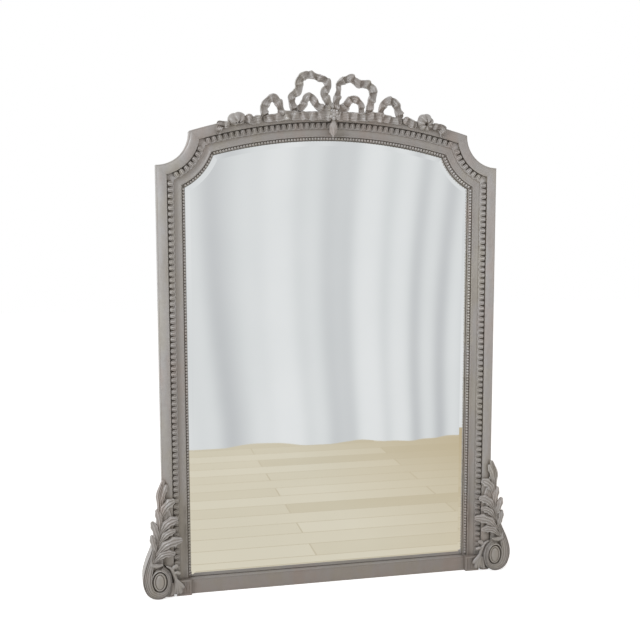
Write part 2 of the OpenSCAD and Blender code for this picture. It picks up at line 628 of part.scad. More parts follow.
// A leaf lobe: a chain of round beads, each [x, z, height off the wall, radius]
module lobe(beads) {
  for (i = [0 : len(beads) - 2]) hull() for (b = [beads[i], beads[i + 1]])
    translate([b[0], -b[2], b[1]]) scale([1, 0.6, 1]) sphere(r = b[3], $fn = 8);
}
acanthus_lobes = [
  [[24, 120, 71, 7], [12, 160, 68, 11], [0, 205, 67, 12], [-6, 250, 66, 11], [-8, 300, 65, 11],
    [-6, 335, 66, 12], [-13, 360, 64, 10], [-17, 373, 62, 6]],
  [[-6, 300, 64, 9], [-16, 335, 67, 11], [-25, 358, 63, 7]],
  [[-4, 222, 63, 8], [-2, 256, 68, 12], [4, 276, 64, 8]],
  [[2, 186, 63, 8], [10, 220, 70, 12], [18, 240, 64, 7]],
  [[10, 146, 64, 8], [17, 178, 69, 10], [20, 199, 64, 6]],
  [[-6, 262, 64, 9], [-22, 290, 70, 13], [-45, 306, 64, 8]],
  [[-6, 210, 64, 9], [-26, 234, 70, 14], [-52, 246, 63, 9]],
  [[-2, 180, 64, 9], [-22, 204, 70, 12], [-44, 212, 64, 8]],
  [[6, 145, 66, 9], [-24, 168, 70, 14], [-66, 181, 63, 9]],
  [[14, 122, 67, 9], [-12, 142, 71, 12], [-46, 140, 64, 9]],
  [[24, 126, 71, 7], [22, 110, 73, 8], [8, 108, 73, 8], [-12, 108, 71, 6]]
];
module moved_lobes(lobes) {
  for (l = lobes) lobe([for (b = l) [volute_cx + b[0], b[1], b[2], b[3]]]);
}
module scroll_room() {
  p = smooth(scroll_route, 2);
  for (i = [0 : len(p) - 10]) hull() for (k = [i, i + 1])
    translate([volute_cx + p[k][0], -p[k][3] - gap, p[k][1]]) rotate([0, -heading(p, k), 0])
      translate([-0.1, 0, -p[k][2] / 2 - gap]) cube([0.2, p[k][3], p[k][2] + 2 * gap]);
}
module acanthus(s) color(paint) side(s) difference() {
  moved_lobes(acanthus_lobes);
  foot_room();
  web_room();
  scroll_room();
}
sprig_lobes = [
  [[-22, 100, 64, 4], [-36, 90, 62, 5], [-44, 72, 59, 5], [-52, 48, 58, 4]],
  [[-48, 56, 58, 4], [-60, 36, 58, 5], [-74, 26, 56.5, 3]],
  [[-50, 48, 58, 4], [-50, 30, 58, 4], [-48, 14, 56.5, 3]],
  [[-50, 46, 58, 4], [-60, 28, 58, 4], [-60, 12, 56.5, 3]]
];
module leaf_sprig(s) color(paint) side(s) difference() {
  moved_lobes(sprig_lobes);
  foot_room();
  volute_pocket();
  scroll_room();
}

// Mirror plate and what stands behind it
module plate_outline(off) {
  difference() {
    intersection() {
      translate([-sight_x - off, rail_h - off]) square([2 * (sight_x + off), arch_top]);
      translate([0, arch_cz]) circle(r = arch_sight_r + off, $fn = 720);
    }
    for (k = [-1, 1]) translate([k * shoulder_cx, shoulder_cz])
      circle(r = shoulder_sight_r - off, $fn = 180);
  }
}
module mirror_plate() color([0.85, 0.88, 0.9]) {
  edge_x = sight_x + glass_under;
  foot = rail_h - glass_under;
  thin = glass_h - bevel_drop;
  difference() {
    solid(glass_h - glass_t, glass_h) plate_outline(glass_under);
    for (s = [-1, 1]) side(s) {
      translate([0, 0, foot - 1]) linear_extrude(arch_top)
        polygon([[edge_x, -thin], [edge_x - bevel_w, -glass_h], [edge_x - bevel_w, -glass_h - 1],
          [edge_x + 1, -glass_h - 1], [edge_x + 1, -thin]]);
      translate([shoulder_cx, 0, shoulder_cz]) rotate([90, 0, 0]) translate([0, 0, thin])
        cylinder(r1 = shoulder_sight_r - glass_under, r2 = shoulder_sight_r - glass_under + bevel_w,
          h = bevel_drop, $fn = 180);
    }
    translate([-edge_x - 1, 0, 0]) rotate([90, 0, 90]) linear_extrude(2 * edge_x + 2)
      polygon([[-thin, foot], [-glass_h, foot + bevel_w], [-glass_h - 1, foot + bevel_w],
        [-glass_h - 1, foot - 1], [-thin, foot - 1]]);
    translate([0, 0, arch_cz]) rotate([90, 0, 0]) translate([0, 0, thin]) difference() {
      cylinder(r = arch_r, h = bevel_drop + 1, $fn = 720);
      cylinder(r1 = arch_sight_r + glass_under, r2 = arch_sight_r + glass_under - bevel_w,
        h = bevel_drop, $fn = 720);
    }
  }
}
screw_w = (glass_rebate_w + board_rebate_w) / 2;
stile_screw_z = [160, 640, 1120];
bottom_screw_x = [-330, -80, 80, 330];
top_screw_x = [-310, -80, 80, 310];
batten_screw_x = [-330, 0, 330];
strap_screws = [38, 53];
function arch_screw_z(x) = arch_cz + sqrt(pow(arch_sight_r + screw_w, 2) - x * x);
module screw(x, z, h, grow = 0) {
  translate([x, 0, z]) rotate([90, 0, 0]) translate([0, 0, h]) {
    cylinder(r1 = 2 * screw_r + grow, r2 = screw_r + grow, h = 2, $fn = 32);
    cylinder(r = screw_r + grow, h = screw_l + grow, $fn = 32);
  }
}
module screw_hole(x, z, h, l) {
  translate([x, 1, z]) rotate([90, 0, 0]) cylinder(r = screw_r + pin_gap, h = h + l + 1, $fn = 32);
}
board_edges = [-sight_x - board_rebate_w, -middle_board_w / 2, middle_board_w / 2,
  sight_x + board_rebate_w];
module backboard(i) color([0.72, 0.58, 0.42]) difference() {
  intersection() {
    solid(board_back_h, board_seat_h) plate_outline(board_rebate_w - gap);
    solid(0, board_seat_h + 1) translate([board_edges[i] + gap / 2, 0])
      square([board_edges[i + 1] - board_edges[i] - gap, arch_top]);
  }
  for (s = [-1, 1]) for (z = stile_screw_z) screw(s * (sight_x + screw_w), z, board_back_h, pin_gap);
  for (x = bottom_screw_x) screw(x, rail_h - screw_w, board_back_h, pin_gap);
  for (x = top_screw_x) screw(x, arch_screw_z(x), board_back_h, pin_gap);
  for (x = batten_screw_x, z = [lower_batten_z, upper_batten_z])
    screw(x, z, board_back_h - batten_t, pin_gap);
}
batten_t = board_back_h - 0.5;
module batten(z) color([0.68, 0.54, 0.38]) difference() {
  solid(board_back_h - batten_t, board_back_h)
    translate([-sight_x - board_rebate_w + 1, z - batten_h / 2])
      square([2 * (sight_x + board_rebate_w - 1), batten_h]);
  for (x = batten_screw_x) screw(x, z, board_back_h - batten_t, pin_gap);
}
module backboard_screws() color("darkgray") {
  for (s = [-1, 1]) for (z = stile_screw_z) screw(s * (sight_x + screw_w), z, board_back_h);
  for (x = bottom_screw_x) screw(x, rail_h - screw_w, board_back_h);
  for (x = top_screw_x) screw(x, arch_screw_z(x), board_back_h);
  for (x = batten_screw_x, z = [lower_batten_z, upper_batten_z]) screw(x, z, board_back_h - batten_t);
}

// Hangers: a strap let into each stile's back, and a ring that swings in its knuckle
module hanger_strap(s) color("dimgray") side(s) translate([hanger_x, 0, hanger_z]) difference() {
  union() {
    solid(pocket_d - strap_t, pocket_d) translate([-strap_w / 2, -strap_l])
      square([strap_w, strap_l]);
    translate([-6, -hinge_h, 0]) rotate([0, 90, 0])
      cylinder(r = wire_r + 2, h = 12, $fn = 48);
    translate([-6, -pocket_d, -wire_r - 2]) cube([12, pocket_d - hinge_h, 2 * wire_r]);
  }
  translate([-7, -hinge_h, 0]) rotate([0, 90, 0]) cylinder(r = wire_r + pin_gap, h = 14, $fn = 48);
  for (dz = strap_screws) screw(0, -dz, pocket_d - strap_t, pin_gap);
}
module hanger_ring(s) color("silver") side(s) translate([hanger_x, -hinge_h, hanger_z]) {
  translate([-ring_r, 0, 0]) rotate([0, 90, 0]) cylinder(r = wire_r, h = 2 * ring_r, $fn = 48);
  for (k = [-1, 1]) translate([k * ring_r, 0, 0]) {
    sphere(r = wire_r, $fn = 48);
    mirror([0, 0, 1]) cylinder(r = wire_r, h = ring_leg, $fn = 48);
  }
  translate([0, 0, -ring_leg]) rotate([90, 0, 0]) rotate([0, 0, 180])
    rotate_extrude(angle = 180, $fn = 96) translate([ring_r, 0]) circle(r = wire_r, $fn = 48);
}
module hanger_screws() color("darkgray") {
  for (s = [-1, 1]) for (dz = strap_screws) screw(s * hanger_x, hanger_z - dz, pocket_d - strap_t);
}

stile(-1);  // left_stile
stile(1);  // right_stile
bottom_rail();
shoulder(-1);  // left_shoulder
shoulder(1);  // right_shoulder
arched_top_rail();
plinth_block(-1);  // left_plinth_block
plinth_block(1);  // right_plinth_block
stile_pearls(-1);  // left_pearls
stile_pearls(1);  // right_pearls
shoulder_pearls(-1);  // left_shoulder_pearls
shoulder_pearls(1);  // right_shoulder_pearls
arch_pearls();
stile_leaves(-1);  // left_leaf_and_dart
stile_leaves(1);  // right_leaf_and_dart
shoulder_leaves(-1);  // left_shoulder_leaf_and_dart
shoulder_leaves(1);  // right_shoulder_leaf_and_dart
arch_leaves();  // arch_leaf_and_dart
bow_loop(-1);  // left_bow_loop
bow_loop(1);  // right_bow_loop
ribbon_band(-1);  // left_ribbon_band
ribbon_band(1);  // right_ribbon_band
side_loop(-1);  // left_side_loop
side_loop(1);  // right_side_loop
ribbon_wave(-1);  // left_ribbon_wave
ribbon_wave(1);  // right_ribbon_wave
ribbon_puff(-1);  // left_ribbon_puff
ribbon_puff(1);  // right_ribbon_puff
ribbon_end(-1);  // left_ribbon_end
ribbon_end(1);  // right_ribbon_end
knot_rosette();
bellflower_drop();
scroll(-1);  // left_scroll
scroll(1);  // right_scroll
cabochon(-1);  // left_cabochon
cabochon(1);  // right_cabochon
acanthus(-1);  // left_acanthus
acanthus(1);  // right_acanthus
leaf_sprig(-1);  // left_leaf_sprig
leaf_sprig(1);  // right_leaf_sprig
mirror_plate();
backboard(0);  // left_backboard
backboard(1);  // middle_backboard
backboard(2);  // right_backboard
batten(lower_batten_z);  // lower_batten
batten(upper_batten_z);  // upper_batten
backboard_screws();
hanger_strap(-1);  // left_hanger_strap
hanger_strap(1);  // right_hanger_strap
hanger_ring(-1);  // left_hanger_ring
hanger_ring(1);  // right_hanger_ring
hanger_screws();
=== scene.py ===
"""Looks of the overmantel mirror: weathered paint, carving, silvered glass, pine back and steel hangers.

The frame's members, the plate, the boards and the hangers keep their CAD mesh and get a material. The
pearls, the leaf and dart, the ribbon crest and the foot brackets are carved here, and each such piece
replaces the node of its name. Lengths are in millimetres as far as world(), which gives metres in the
CAD's frame.
"""
import math
import random

import bmesh
import bpy
from mathutils import Matrix, Vector

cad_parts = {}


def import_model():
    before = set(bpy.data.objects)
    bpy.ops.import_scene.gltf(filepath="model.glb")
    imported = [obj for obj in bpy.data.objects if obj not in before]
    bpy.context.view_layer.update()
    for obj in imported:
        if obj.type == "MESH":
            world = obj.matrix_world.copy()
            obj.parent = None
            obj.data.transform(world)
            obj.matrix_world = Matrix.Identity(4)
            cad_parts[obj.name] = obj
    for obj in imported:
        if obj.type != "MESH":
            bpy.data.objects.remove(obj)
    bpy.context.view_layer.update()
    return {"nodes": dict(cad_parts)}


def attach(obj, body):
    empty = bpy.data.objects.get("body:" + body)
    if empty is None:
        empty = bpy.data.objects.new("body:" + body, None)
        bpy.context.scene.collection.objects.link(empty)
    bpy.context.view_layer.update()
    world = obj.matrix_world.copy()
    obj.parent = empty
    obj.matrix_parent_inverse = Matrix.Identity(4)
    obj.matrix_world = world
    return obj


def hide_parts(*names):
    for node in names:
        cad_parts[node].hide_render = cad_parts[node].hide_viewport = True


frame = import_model()
nodes = frame["nodes"]

MM = 0.001
FULL_TURN = 2 * math.pi
SIDES = (("left", -1), ("right", 1))

# Sizes that the carved pieces follow, in millimetres, as in the part's source
FRAME_HALF = 540.0
MOULDING_W = 86.0
SHOULDER_Z = 1330.0
SHOULDER_R = 101.0
ARCH_RISE = 66.5
BLOCK_H = 49.0
LIP_H = 27.5
LEDGE_W = 9.2
PEARL_R = 4.3
PEARL_PITCH = 9.3
CHANNEL_W0 = 34.3
CHANNEL_W1 = 53.7
CHANNEL_H = 38.2
GROUND_H = 43.0
LEAF_PITCH = 18.0
SEAT_H = 56.3
CARCASS_H = 28.3
VOLUTE_CX = 553.0
VOLUTE_CZ = 54.0
CLEARANCE = 0.3

# Lines that follow from those sizes
SIGHT_X = FRAME_HALF - MOULDING_W
SHOULDER_CZ = SHOULDER_Z + SHOULDER_R
SHOULDER_SIGHT_R = SHOULDER_R + MOULDING_W
SPRING_X = FRAME_HALF - SHOULDER_R
ARCH_R = (SPRING_X ** 2 + ARCH_RISE ** 2) / (2 * ARCH_RISE)
ARCH_TOP = SHOULDER_CZ + ARCH_RISE
ARCH_CZ = ARCH_TOP - ARCH_R
ARCH_SIGHT_R = ARCH_R - MOULDING_W
SHOULDER_CENTRE = (FRAME_HALF, SHOULDER_CZ)
ARCH_CENTRE = (0.0, ARCH_CZ)


# Curves and small formulas


def blend4(a, b, c, d, t):
    """Catmull-Rom value between b and c, at t from 0 to 1."""
    first = (c - a) * t
    second = (2 * a - 5 * b + 4 * c - d) * t * t
    third = (3 * b - a - 3 * c + d) * t ** 3
    return 0.5 * (2 * b + first + second + third)


def smooth(points, steps):
    """Catmull-Rom points through the given ones, with this many steps to a span."""
    out = []
    last = len(points) - 1
    for i in range(last):
        span = (points[max(i - 1, 0)], points[i], points[i + 1], points[min(i + 2, last)])
        for k in range(steps):
            out.append(tuple(blend4(*values, k / steps) for values in zip(*span)))
    out.append(tuple(points[-1]))
    return out


def flip(points):
    """The same points on the other side of the frame's middle."""
    return [(-p[0],) + tuple(p[1:]) for p in points]


def world(x, z, h):
    """A point in metres, from x and z of the front view and h out from the wall."""
    return Vector((x * MM, -h * MM, z * MM))


def ease(start, t):
    """Rises from start at t = 0 to 1 at t = 1, along a quarter of a sine, and stays there."""
    return start + (1 - start) * math.sin(0.5 * math.pi * min(1.0, t))


def ridge(a, centre, width):
    """A smooth ridge of height 1 at the centre."""
    return math.exp(-((a - centre) / width) ** 2)


# Meshes


class Shape:
    """Vertices and faces of one piece, gathered from several closed forms."""

    def __init__(self):
        self.verts = []
        self.faces = []

    def tube(self, rings):
        """Adds a capped form from rings of equal length, each a loop of points."""
        base = len(self.verts)
        count, last = len(rings[0]), len(rings) - 1
        self.verts += [point for ring in rings for point in ring]
        for i in range(last):
            near, far = base + i * count, base + (i + 1) * count
            for k in range(count):
                q = (k + 1) % count
                self.faces.append((near + k, near + q, far + q, far + k))
        self.faces.append(tuple(base + k for k in range(count - 1, -1, -1)))
        self.faces.append(tuple(base + last * count + k for k in range(count)))

    def lathe(self, centre, axis, profile, steps):
        """Adds a turned form. profile holds (distance along the axis, radius) pairs."""
        axis = Vector(axis).normalized()
        side = axis.orthogonal().normalized()
        other = axis.cross(side)
        rings = []
        for distance, radius in profile:
            ring = []
            for k in range(steps):
                angle = FULL_TURN * k / steps
                outward = side * math.cos(angle) + other * math.sin(angle)
                ring.append(centre + axis * distance * MM + outward * radius * MM)
            rings.append(ring)
        self.tube(rings)


def add_object(name, data):
    obj = bpy.data.objects.new(name, data)
    bpy.context.collection.objects.link(obj)
    return obj


def make(name, shape, material, sharp):
    """Makes the piece that stands for the CAD node of this name. sharp is in degrees."""
    mesh = bpy.data.meshes.new(f"{name}_carved")
    mesh.from_pydata([tuple(v) for v in shape.verts], [], shape.faces)
    bm = bmesh.new()
    bm.from_mesh(mesh)
    bmesh.ops.remove_doubles(bm, verts=bm.verts, dist=0.001 * MM)
    bmesh.ops.recalc_face_normals(bm, faces=bm.faces)
    bm.to_mesh(mesh)
    bm.free()
    for polygon in mesh.polygons:
        polygon.use_smooth = True
    mesh.set_sharp_from_angle(angle=math.radians(sharp))
    mesh.materials.append(material)
    obj = add_object(f"{name}_carved", mesh)
    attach(obj, "root")
    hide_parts(name)


def frames_along(path):
    """Place, sideways and forward direction at each [x, z, h, ...] point of a path."""
    points = [world(*p[:3]) for p in path]
    last = len(points) - 1
    out = []
    for i, point in enumerate(points):
        tangent = (points[min(i + 1, last)] - points[max(i - 1, 0)]).normalized()
        side = tangent.cross(Vector((0, -1, 0))).normalized()
        out.append((point, side, side.cross(tangent).normalized()))
    return out


def sweep(shape, path, section):
    """Sweeps section(i), a list of (sideways, forward) in mm, along a path of [x, z, h, twist]."""
    rings = []
    for i, (point, side, fore) in enumerate(frames_along(path)):
        twist = math.radians(path[i][3])
        u = side * math.cos(twist) + fore * math.sin(twist)
        v = fore * math.cos(twist) - side * math.sin(twist)
        rings.append([point + (u * a + v * b) * MM for a, b in section(i)])
    shape.tube(rings)


# A leaf's tip as a share of its length, and its root, tip and underside as shares of its full size
TIP_SHARE = 0.45
ROOT_WIDTH = 0.35
ROOT_HEIGHT = 0.55
TIP_WIDTH = 0.06
TIP_HEIGHT = 0.15
UNDER_WIDTH = 0.8
UNDER_DEPTH = 0.35
DOME_POWER = 2.4
SCALLOP_DEPTH = 0.26


def blade(shape, path, width, height, ribs, rib_depth, curl, across, steps, scallops=0):
    """A carved leaf: a domed, ribbed form that tapers at both ends. path holds [x, z, h] points.

    ribs are counted over its width and scallops over its length, and curl is how far the tip lifts.
    """
    points = [point + (0.0,) for point in smooth(path, steps)]
    last = len(points) - 1
    body = 1 - TIP_SHARE

    def section(i):
        t = i / last
        end = math.sqrt(max(0.0, 1 - ((t - body) / TIP_SHARE) ** 2)) if t > body else 1.0
        half = width * ease(ROOT_WIDTH, t / body) * max(end, TIP_WIDTH) / 2
        half *= 1 - SCALLOP_DEPTH * abs(math.sin(math.pi * scallops * t))
        tall = height * ease(ROOT_HEIGHT, t / body) * max(end, TIP_HEIGHT)
        lift = curl * t * t
        top = []
        for k in range(across + 1):
            a = -1 + 2 * k / across
            dome = math.sqrt(max(0.0, 1 - abs(a) ** DOME_POWER))
            rib = 0.5 - 0.5 * math.cos(math.pi * ribs * (a + 1) + (math.pi if ribs % 2 else 0))
            top.append((a * half, tall * dome * (1 - rib_depth * rib) + lift))
        low = lift - UNDER_DEPTH * tall
        return top + [(UNDER_WIDTH * half, low), (-UNDER_WIDTH * half, low)]

    sweep(shape, points, section)


# Materials


def feed(socket, value):
    """Links an input to an output, or sets it to a number, a direction or a colour of three numbers."""
    if isinstance(value, bpy.types.NodeSocket):
        socket.id_data.links.new(value, socket)
    elif socket.type == "RGBA":
        socket.default_value = (*value, 1)
    else:
        socket.default_value = value


def feed_all(target, inputs):
    for key, value in inputs.items():
        feed(target.inputs[key], value)


def node(tree, kind, inputs, **settings):
    """A new node with these settings, and with its inputs fed by name or number."""
    n = tree.nodes.new(f"ShaderNode{kind}")
    for name, value in settings.items():
        setattr(n, name, value)
    feed_all(n, inputs)
    return n


def shader(name):
    mat = bpy.data.materials.new(name)
    mat.use_nodes = True
    return mat, mat.node_tree, mat.node_tree.nodes["Principled BSDF"]


def ramp(tree, source, stops):
    """Colours by a value: stops holds (position, colour) pairs."""
    r = node(tree, "ValToRGB", {"Fac": source})
    elements = r.color_ramp.elements
    for element, (position, colour) in ((elements[0], stops[0]), (elements[1], stops[-1])):
        element.position = position
        element.color = (*colour, 1)
    for position, colour in stops[1:-1]:
        elements.new(position).color = (*colour, 1)
    return r.outputs["Color"]


def greys(low, high, at_low=0.0, at_high=1.0):
    """Stops of a ramp from one grey to another."""
    return [(low, (at_low,) * 3), (high, (at_high,) * 3)]


# Places of a mix node's colour sockets, whose names it has once for each type of data
MIX_A = 6
MIX_B = 7
MIX_RESULT = 2


def mix(tree, factor, a, b, blend="MIX"):
    inputs = {"Factor": factor, MIX_A: a, MIX_B: b}
    return node(tree, "Mix", inputs, data_type="RGBA", blend_type=blend).outputs[MIX_RESULT]


def math_node(tree, operation, a, b):
    """The result of two numbers, held between 0 and 1."""
    return node(tree, "Math", {0: a, 1: b}, operation=operation, use_clamp=True).outputs[0]


def times(tree, a, b):
    return math_node(tree, "MULTIPLY", a, b)


def layer(tree, colour, over, mask, amount):
    """Lays a second colour over the first, as far as the mask and this amount of it go."""
    return mix(tree, times(tree, mask, amount), colour, over)


def dot(tree, a, b):
    return node(tree, "VectorMath", {0: a, 1: b}, operation="DOT_PRODUCT").outputs["Value"]


def object_place(tree):
    return node(tree, "TexCoord", {}).outputs["Object"]


def object_axes(tree):
    """x, y and z of the place, in metres."""
    return node(tree, "SeparateXYZ", {0: object_place(tree)}).outputs


def noise(tree, scale, detail, rough, stretch=(1, 1, 1)):
    place = node(tree, "Mapping", {"Vector": object_place(tree), "Scale": stretch})
    inputs = {"Vector": place.outputs[0], "Scale": scale, "Detail": detail, "Roughness": rough}
    return node(tree, "TexNoise", inputs).outputs["Fac"]


def spread(tree, value, low, high, at_low=0.0, at_high=1.0):
    """Maps a value from low..high to at_low..at_high, and holds it beyond them."""
    inputs = {"Value": value, "From Min": low, "From Max": high, "To Min": at_low, "To Max": at_high}
    return node(tree, "MapRange", inputs).outputs[0]


def occlusion(tree, distance):
    """1 in the open, less where something stands within this distance in metres."""
    return node(tree, "AmbientOcclusion", {"Distance": distance}, samples=8).outputs["AO"]


def add_bump(tree, bsdf, height, strength, distance, **normal):
    bump = node(tree, "Bump", {"Height": height, "Strength": strength, "Distance": distance, **normal})
    feed(bsdf.inputs["Normal"], bump.outputs[0])


def tinted(colour, red, green, blue):
    return [red * colour[0], green * colour[1], blue * colour[2]]


def scaled(colour, factor):
    return [factor * c for c in colour]


MID = (0.440, 0.425, 0.415)
LIGHT = (0.560, 0.548, 0.545)
DARK = (0.085, 0.070, 0.055)
# Paler paint on open edges and carved forms: partly wear, partly painted highlight
WORN_AND_HIGHLIGHT = (0.66, 0.645, 0.64)
PAINT_TINTS = [(0.36, (1.0, 0.935, 0.905)), (0.50, (0.98, 0.98, 0.985)), (0.64, (0.985, 0.97, 0.91))]
NARROW_HOLLOW = 0.010
WIDE_HOLLOW = 0.060

# How strongly brown lies in wide recesses, partly glazing and partly painted shade, darkens the arch and
# the foot, and lies as painted shade on the inner moulding
WIDE_GLAZE_AND_SHADE = 0.80
ARCH_DARKENING = 0.52
FOOT_DARKENING = 0.72
INNER_SHADE = 0.52

# Where that brown comes in, along z, y or x in metres
ARCH_ZONE = (1.28, 1.42)
FOOT_ZONE = (0.85, 0.0)
RECESS_ZONE = (-0.050, -0.043)
RAIL_ZONE = (0.046, 0.054)
SIDE_ZONE = (-0.40, 0.40)


def mottled(tree, mid, light, brown, fine):
    """Broad and fine patches, streaks down the wood and dark specks."""
    broad = ramp(tree, noise(tree, 7.0, 5.0, 0.6), greys(0.35, 0.68))
    streak = ramp(tree, noise(tree, 38.0, 5.0, 0.6, (1, 1, 0.25)), greys(0.40, 0.72))
    speck = ramp(tree, noise(tree, 420.0, 3.0, 0.6), greys(0.42, 0.62))
    colour = mix(tree, broad, mid, [0.75 * c + 0.25 * d for c, d in zip(mid, light)])
    colour = layer(tree, colour, light, fine, 0.30)
    colour = layer(tree, colour, brown, streak, 0.28)
    return layer(tree, colour, DARK, speck, 0.10)


def soiled_and_shaded(tree, colour, brown, hollow, soil_and_shade):
    """Brown in recesses and nearly black at the bottom of narrow ones, found by occlusion: partly dirt,
    partly painted shade.
    """
    # the masks below come from occlusion, so this brown and near-black is partly dirt and partly painted
    # shade
    grime_and_shade = ramp(tree, hollow, greys(0.25, 0.95, 1.0, 0.0))
    glaze_and_shade = ramp(tree, occlusion(tree, WIDE_HOLLOW), greys(0.50, 0.93, 1.0, 0.0))
    crevice_dirt_and_shade = ramp(tree, hollow, greys(0.06, 0.46, 1.0, 0.0))
    colour = layer(tree, colour, brown, grime_and_shade, 0.80 * soil_and_shade)
    colour = layer(tree, colour, brown, glaze_and_shade, WIDE_GLAZE_AND_SHADE)
    return layer(tree, colour, DARK, crevice_dirt_and_shade, soil_and_shade)


def rubbed_and_highlit(tree, colour, worn_and_highlight, hollow, bevel, carved):
    """Paint paler in patches of the open edges, and of raised forms where the piece is carved: partly wear,
    partly painted highlight.
    """
    geometry = node(tree, "NewGeometry", {}).outputs
    edge = ramp(tree, dot(tree, bevel, geometry["Normal"]), greys(0.80, 0.985, 1.0, 0.0))
    # raised carved forms, found by pointiness, get painted highlight as well
    if carved:
        edge = math_node(tree, "ADD", edge, ramp(tree, geometry["Pointiness"], greys(0.502, 0.545)))
    open_edge = times(tree, edge, ramp(tree, hollow, greys(0.40, 0.80)))
    patch = ramp(tree, noise(tree, 60.0, 4.0, 0.7), greys(0.25, 0.55))
    return layer(tree, colour, worn_and_highlight, times(tree, open_edge, patch), 0.9)


def darkened_and_tinted(tree, colour, mid):
    """Brown over the arch and towards the foot, painted shade on the inner moulding that is stronger on the
    left, and slight tints in patches.
    """
    brown = tinted(mid, 0.63, 0.595, 0.56)
    x, y, z = object_axes(tree)
    # darker across the arch
    top = spread(tree, z, *ARCH_ZONE)
    colour = layer(tree, colour, brown, top, ARCH_DARKENING)
    # painted shade on the inner moulding: deeper in the recess, stronger on the left side
    recess = spread(tree, y, *RECESS_ZONE)
    above_rail = spread(tree, z, *RAIL_ZONE)
    leftward = spread(tree, x, *SIDE_ZONE, 1.0, 0.25)
    inner = times(tree, times(tree, recess, above_rail), leftward)
    inner = times(tree, inner, math_node(tree, "SUBTRACT", 1.0, top))
    colour = layer(tree, colour, brown, inner, INNER_SHADE)
    # darker towards the foot
    colour = layer(tree, colour, brown, spread(tree, z, *FOOT_ZONE), FOOT_DARKENING)
    tint = ramp(tree, noise(tree, 12.0, 4.0, 0.6, (1, 1, 0.5)), PAINT_TINTS)
    return mix(tree, 1.0, colour, tint, "MULTIPLY")


def weathered_shaded_paint(name, mid, light, worn_and_highlight, soil_and_shade, carved=False):
    """Old grey-brown paint: brown in the hollows, partly dirt and partly painted shade, paler on the edges,
    partly wear and partly painted highlight, mottled and slightly rough.

    The fifth argument sets how strongly dirt and painted shade fill the narrow hollows, from 0 to 1.
    """
    mat, tree, bsdf = shader(name)
    brown = tinted(mid, 0.62, 0.54, 0.44)
    fine = ramp(tree, noise(tree, 95.0, 6.0, 0.65), greys(0.36, 0.66))
    hollow = occlusion(tree, NARROW_HOLLOW)
    bevel = node(tree, "Bevel", {"Radius": 0.0012}, samples=4).outputs[0]
    colour = mottled(tree, mid, light, brown, fine)
    colour = soiled_and_shaded(tree, colour, brown, hollow, soil_and_shade)
    colour = rubbed_and_highlit(tree, colour, worn_and_highlight, hollow, bevel, carved)
    feed_all(bsdf, {
        "Base Color": darkened_and_tinted(tree, colour, mid),
        "Roughness": ramp(tree, fine, greys(0.0, 1.0, 0.36, 0.56)),
        "Specular IOR Level": 0.52,
        "Coat Weight": 0.30,
        "Coat Roughness": 0.24,
    })
    grain = mix(tree, 0.35, noise(tree, 160.0, 6.0, 0.6), noise(tree, 600.0, 3.0, 0.6))
    add_bump(tree, bsdf, grain, 0.35, 0.0007, Normal=bevel)
    return mat


def silvered_glass():
    """Old mirror glass: silver behind a slightly grey plate, faintly hazy, with a dark painted shade along
    the frame.
    """
    mat, tree, bsdf = shader("mirror_silver")
    haze_stops = [(0.35, (0.91, 0.925, 0.92)), (0.7, (0.94, 0.95, 0.945))]
    haze = ramp(tree, noise(tree, 3.5, 3.0, 0.5), haze_stops)
    # a dark line close to the frame, from occlusion: painted shade
    edge = ramp(tree, occlusion(tree, 0.0028), greys(0.62, 0.98, 1.0, 0.0))
    colour = layer(tree, haze, (0.10, 0.085, 0.07), edge, 0.9)
    film = ramp(tree, noise(tree, 24.0, 4.0, 0.6), greys(0.3, 0.8, 0.012, 0.03))
    feed_all(bsdf, {"Metallic": 1.0, "Base Color": colour, "Roughness": film})
    return mat


def pine(name, light, dark, upright=True):
    """Planed pine: grain lines along the board, darker late wood, and a dusty surface."""
    mat, tree, bsdf = shader(name)

    def grain(scale, detail, rough, squeeze):
        return noise(tree, scale, detail, rough, (1, 1, squeeze) if upright else (squeeze, 1, 1))

    late_wood = ramp(tree, grain(34.0, 6.0, 0.7, 0.06), greys(0.44, 0.62))
    flame = ramp(tree, grain(7.0, 4.0, 0.6, 0.16), greys(0.40, 0.66))
    fibre = grain(240.0, 4.0, 0.6, 0.03)
    dust = ramp(tree, noise(tree, 4.0, 5.0, 0.6), greys(0.45, 0.70))
    # painted shade where other parts stand close to the boards
    shade = ramp(tree, occlusion(tree, 0.02), greys(0.4, 0.95, 1.0, 0.0))
    colour = layer(tree, light, dark, late_wood, 0.55)
    colour = layer(tree, colour, scaled(dark, 0.8), flame, 0.45)
    colour = layer(tree, colour, (0.36, 0.31, 0.25), dust, 0.35)
    colour = layer(tree, colour, dark, fibre, 0.25)
    colour = layer(tree, colour, scaled(dark, 0.4), shade, 0.5)
    feed_all(bsdf, {"Base Color": colour, "Roughness": 0.78})
    add_bump(tree, bsdf, fibre, 0.4, 0.0005)
    return mat


def old_steel(name, base, rust):
    """Dull steel with brown tarnish in patches."""
    mat, tree, bsdf = shader(name)
    patch = ramp(tree, noise(tree, 180.0, 5.0, 0.65), greys(0.45, 0.70))
    colour = layer(tree, base, rust, patch, 0.7)
    rough = ramp(tree, patch, greys(0.0, 1.0, 0.34, 0.7))
    feed_all(bsdf, {"Metallic": 0.9, "Base Color": colour, "Roughness": rough})
    add_bump(tree, bsdf, noise(tree, 400.0, 4.0, 0.6), 0.3, 0.0003)
    return mat


frame_paint = weathered_shaded_paint("frame_paint_old", MID, LIGHT, WORN_AND_HIGHLIGHT, 0.62)
strip_paint = weathered_shaded_paint("strip_paint_old", scaled(MID, 0.93), LIGHT, WORN_AND_HIGHLIGHT, 0.36, carved=True)
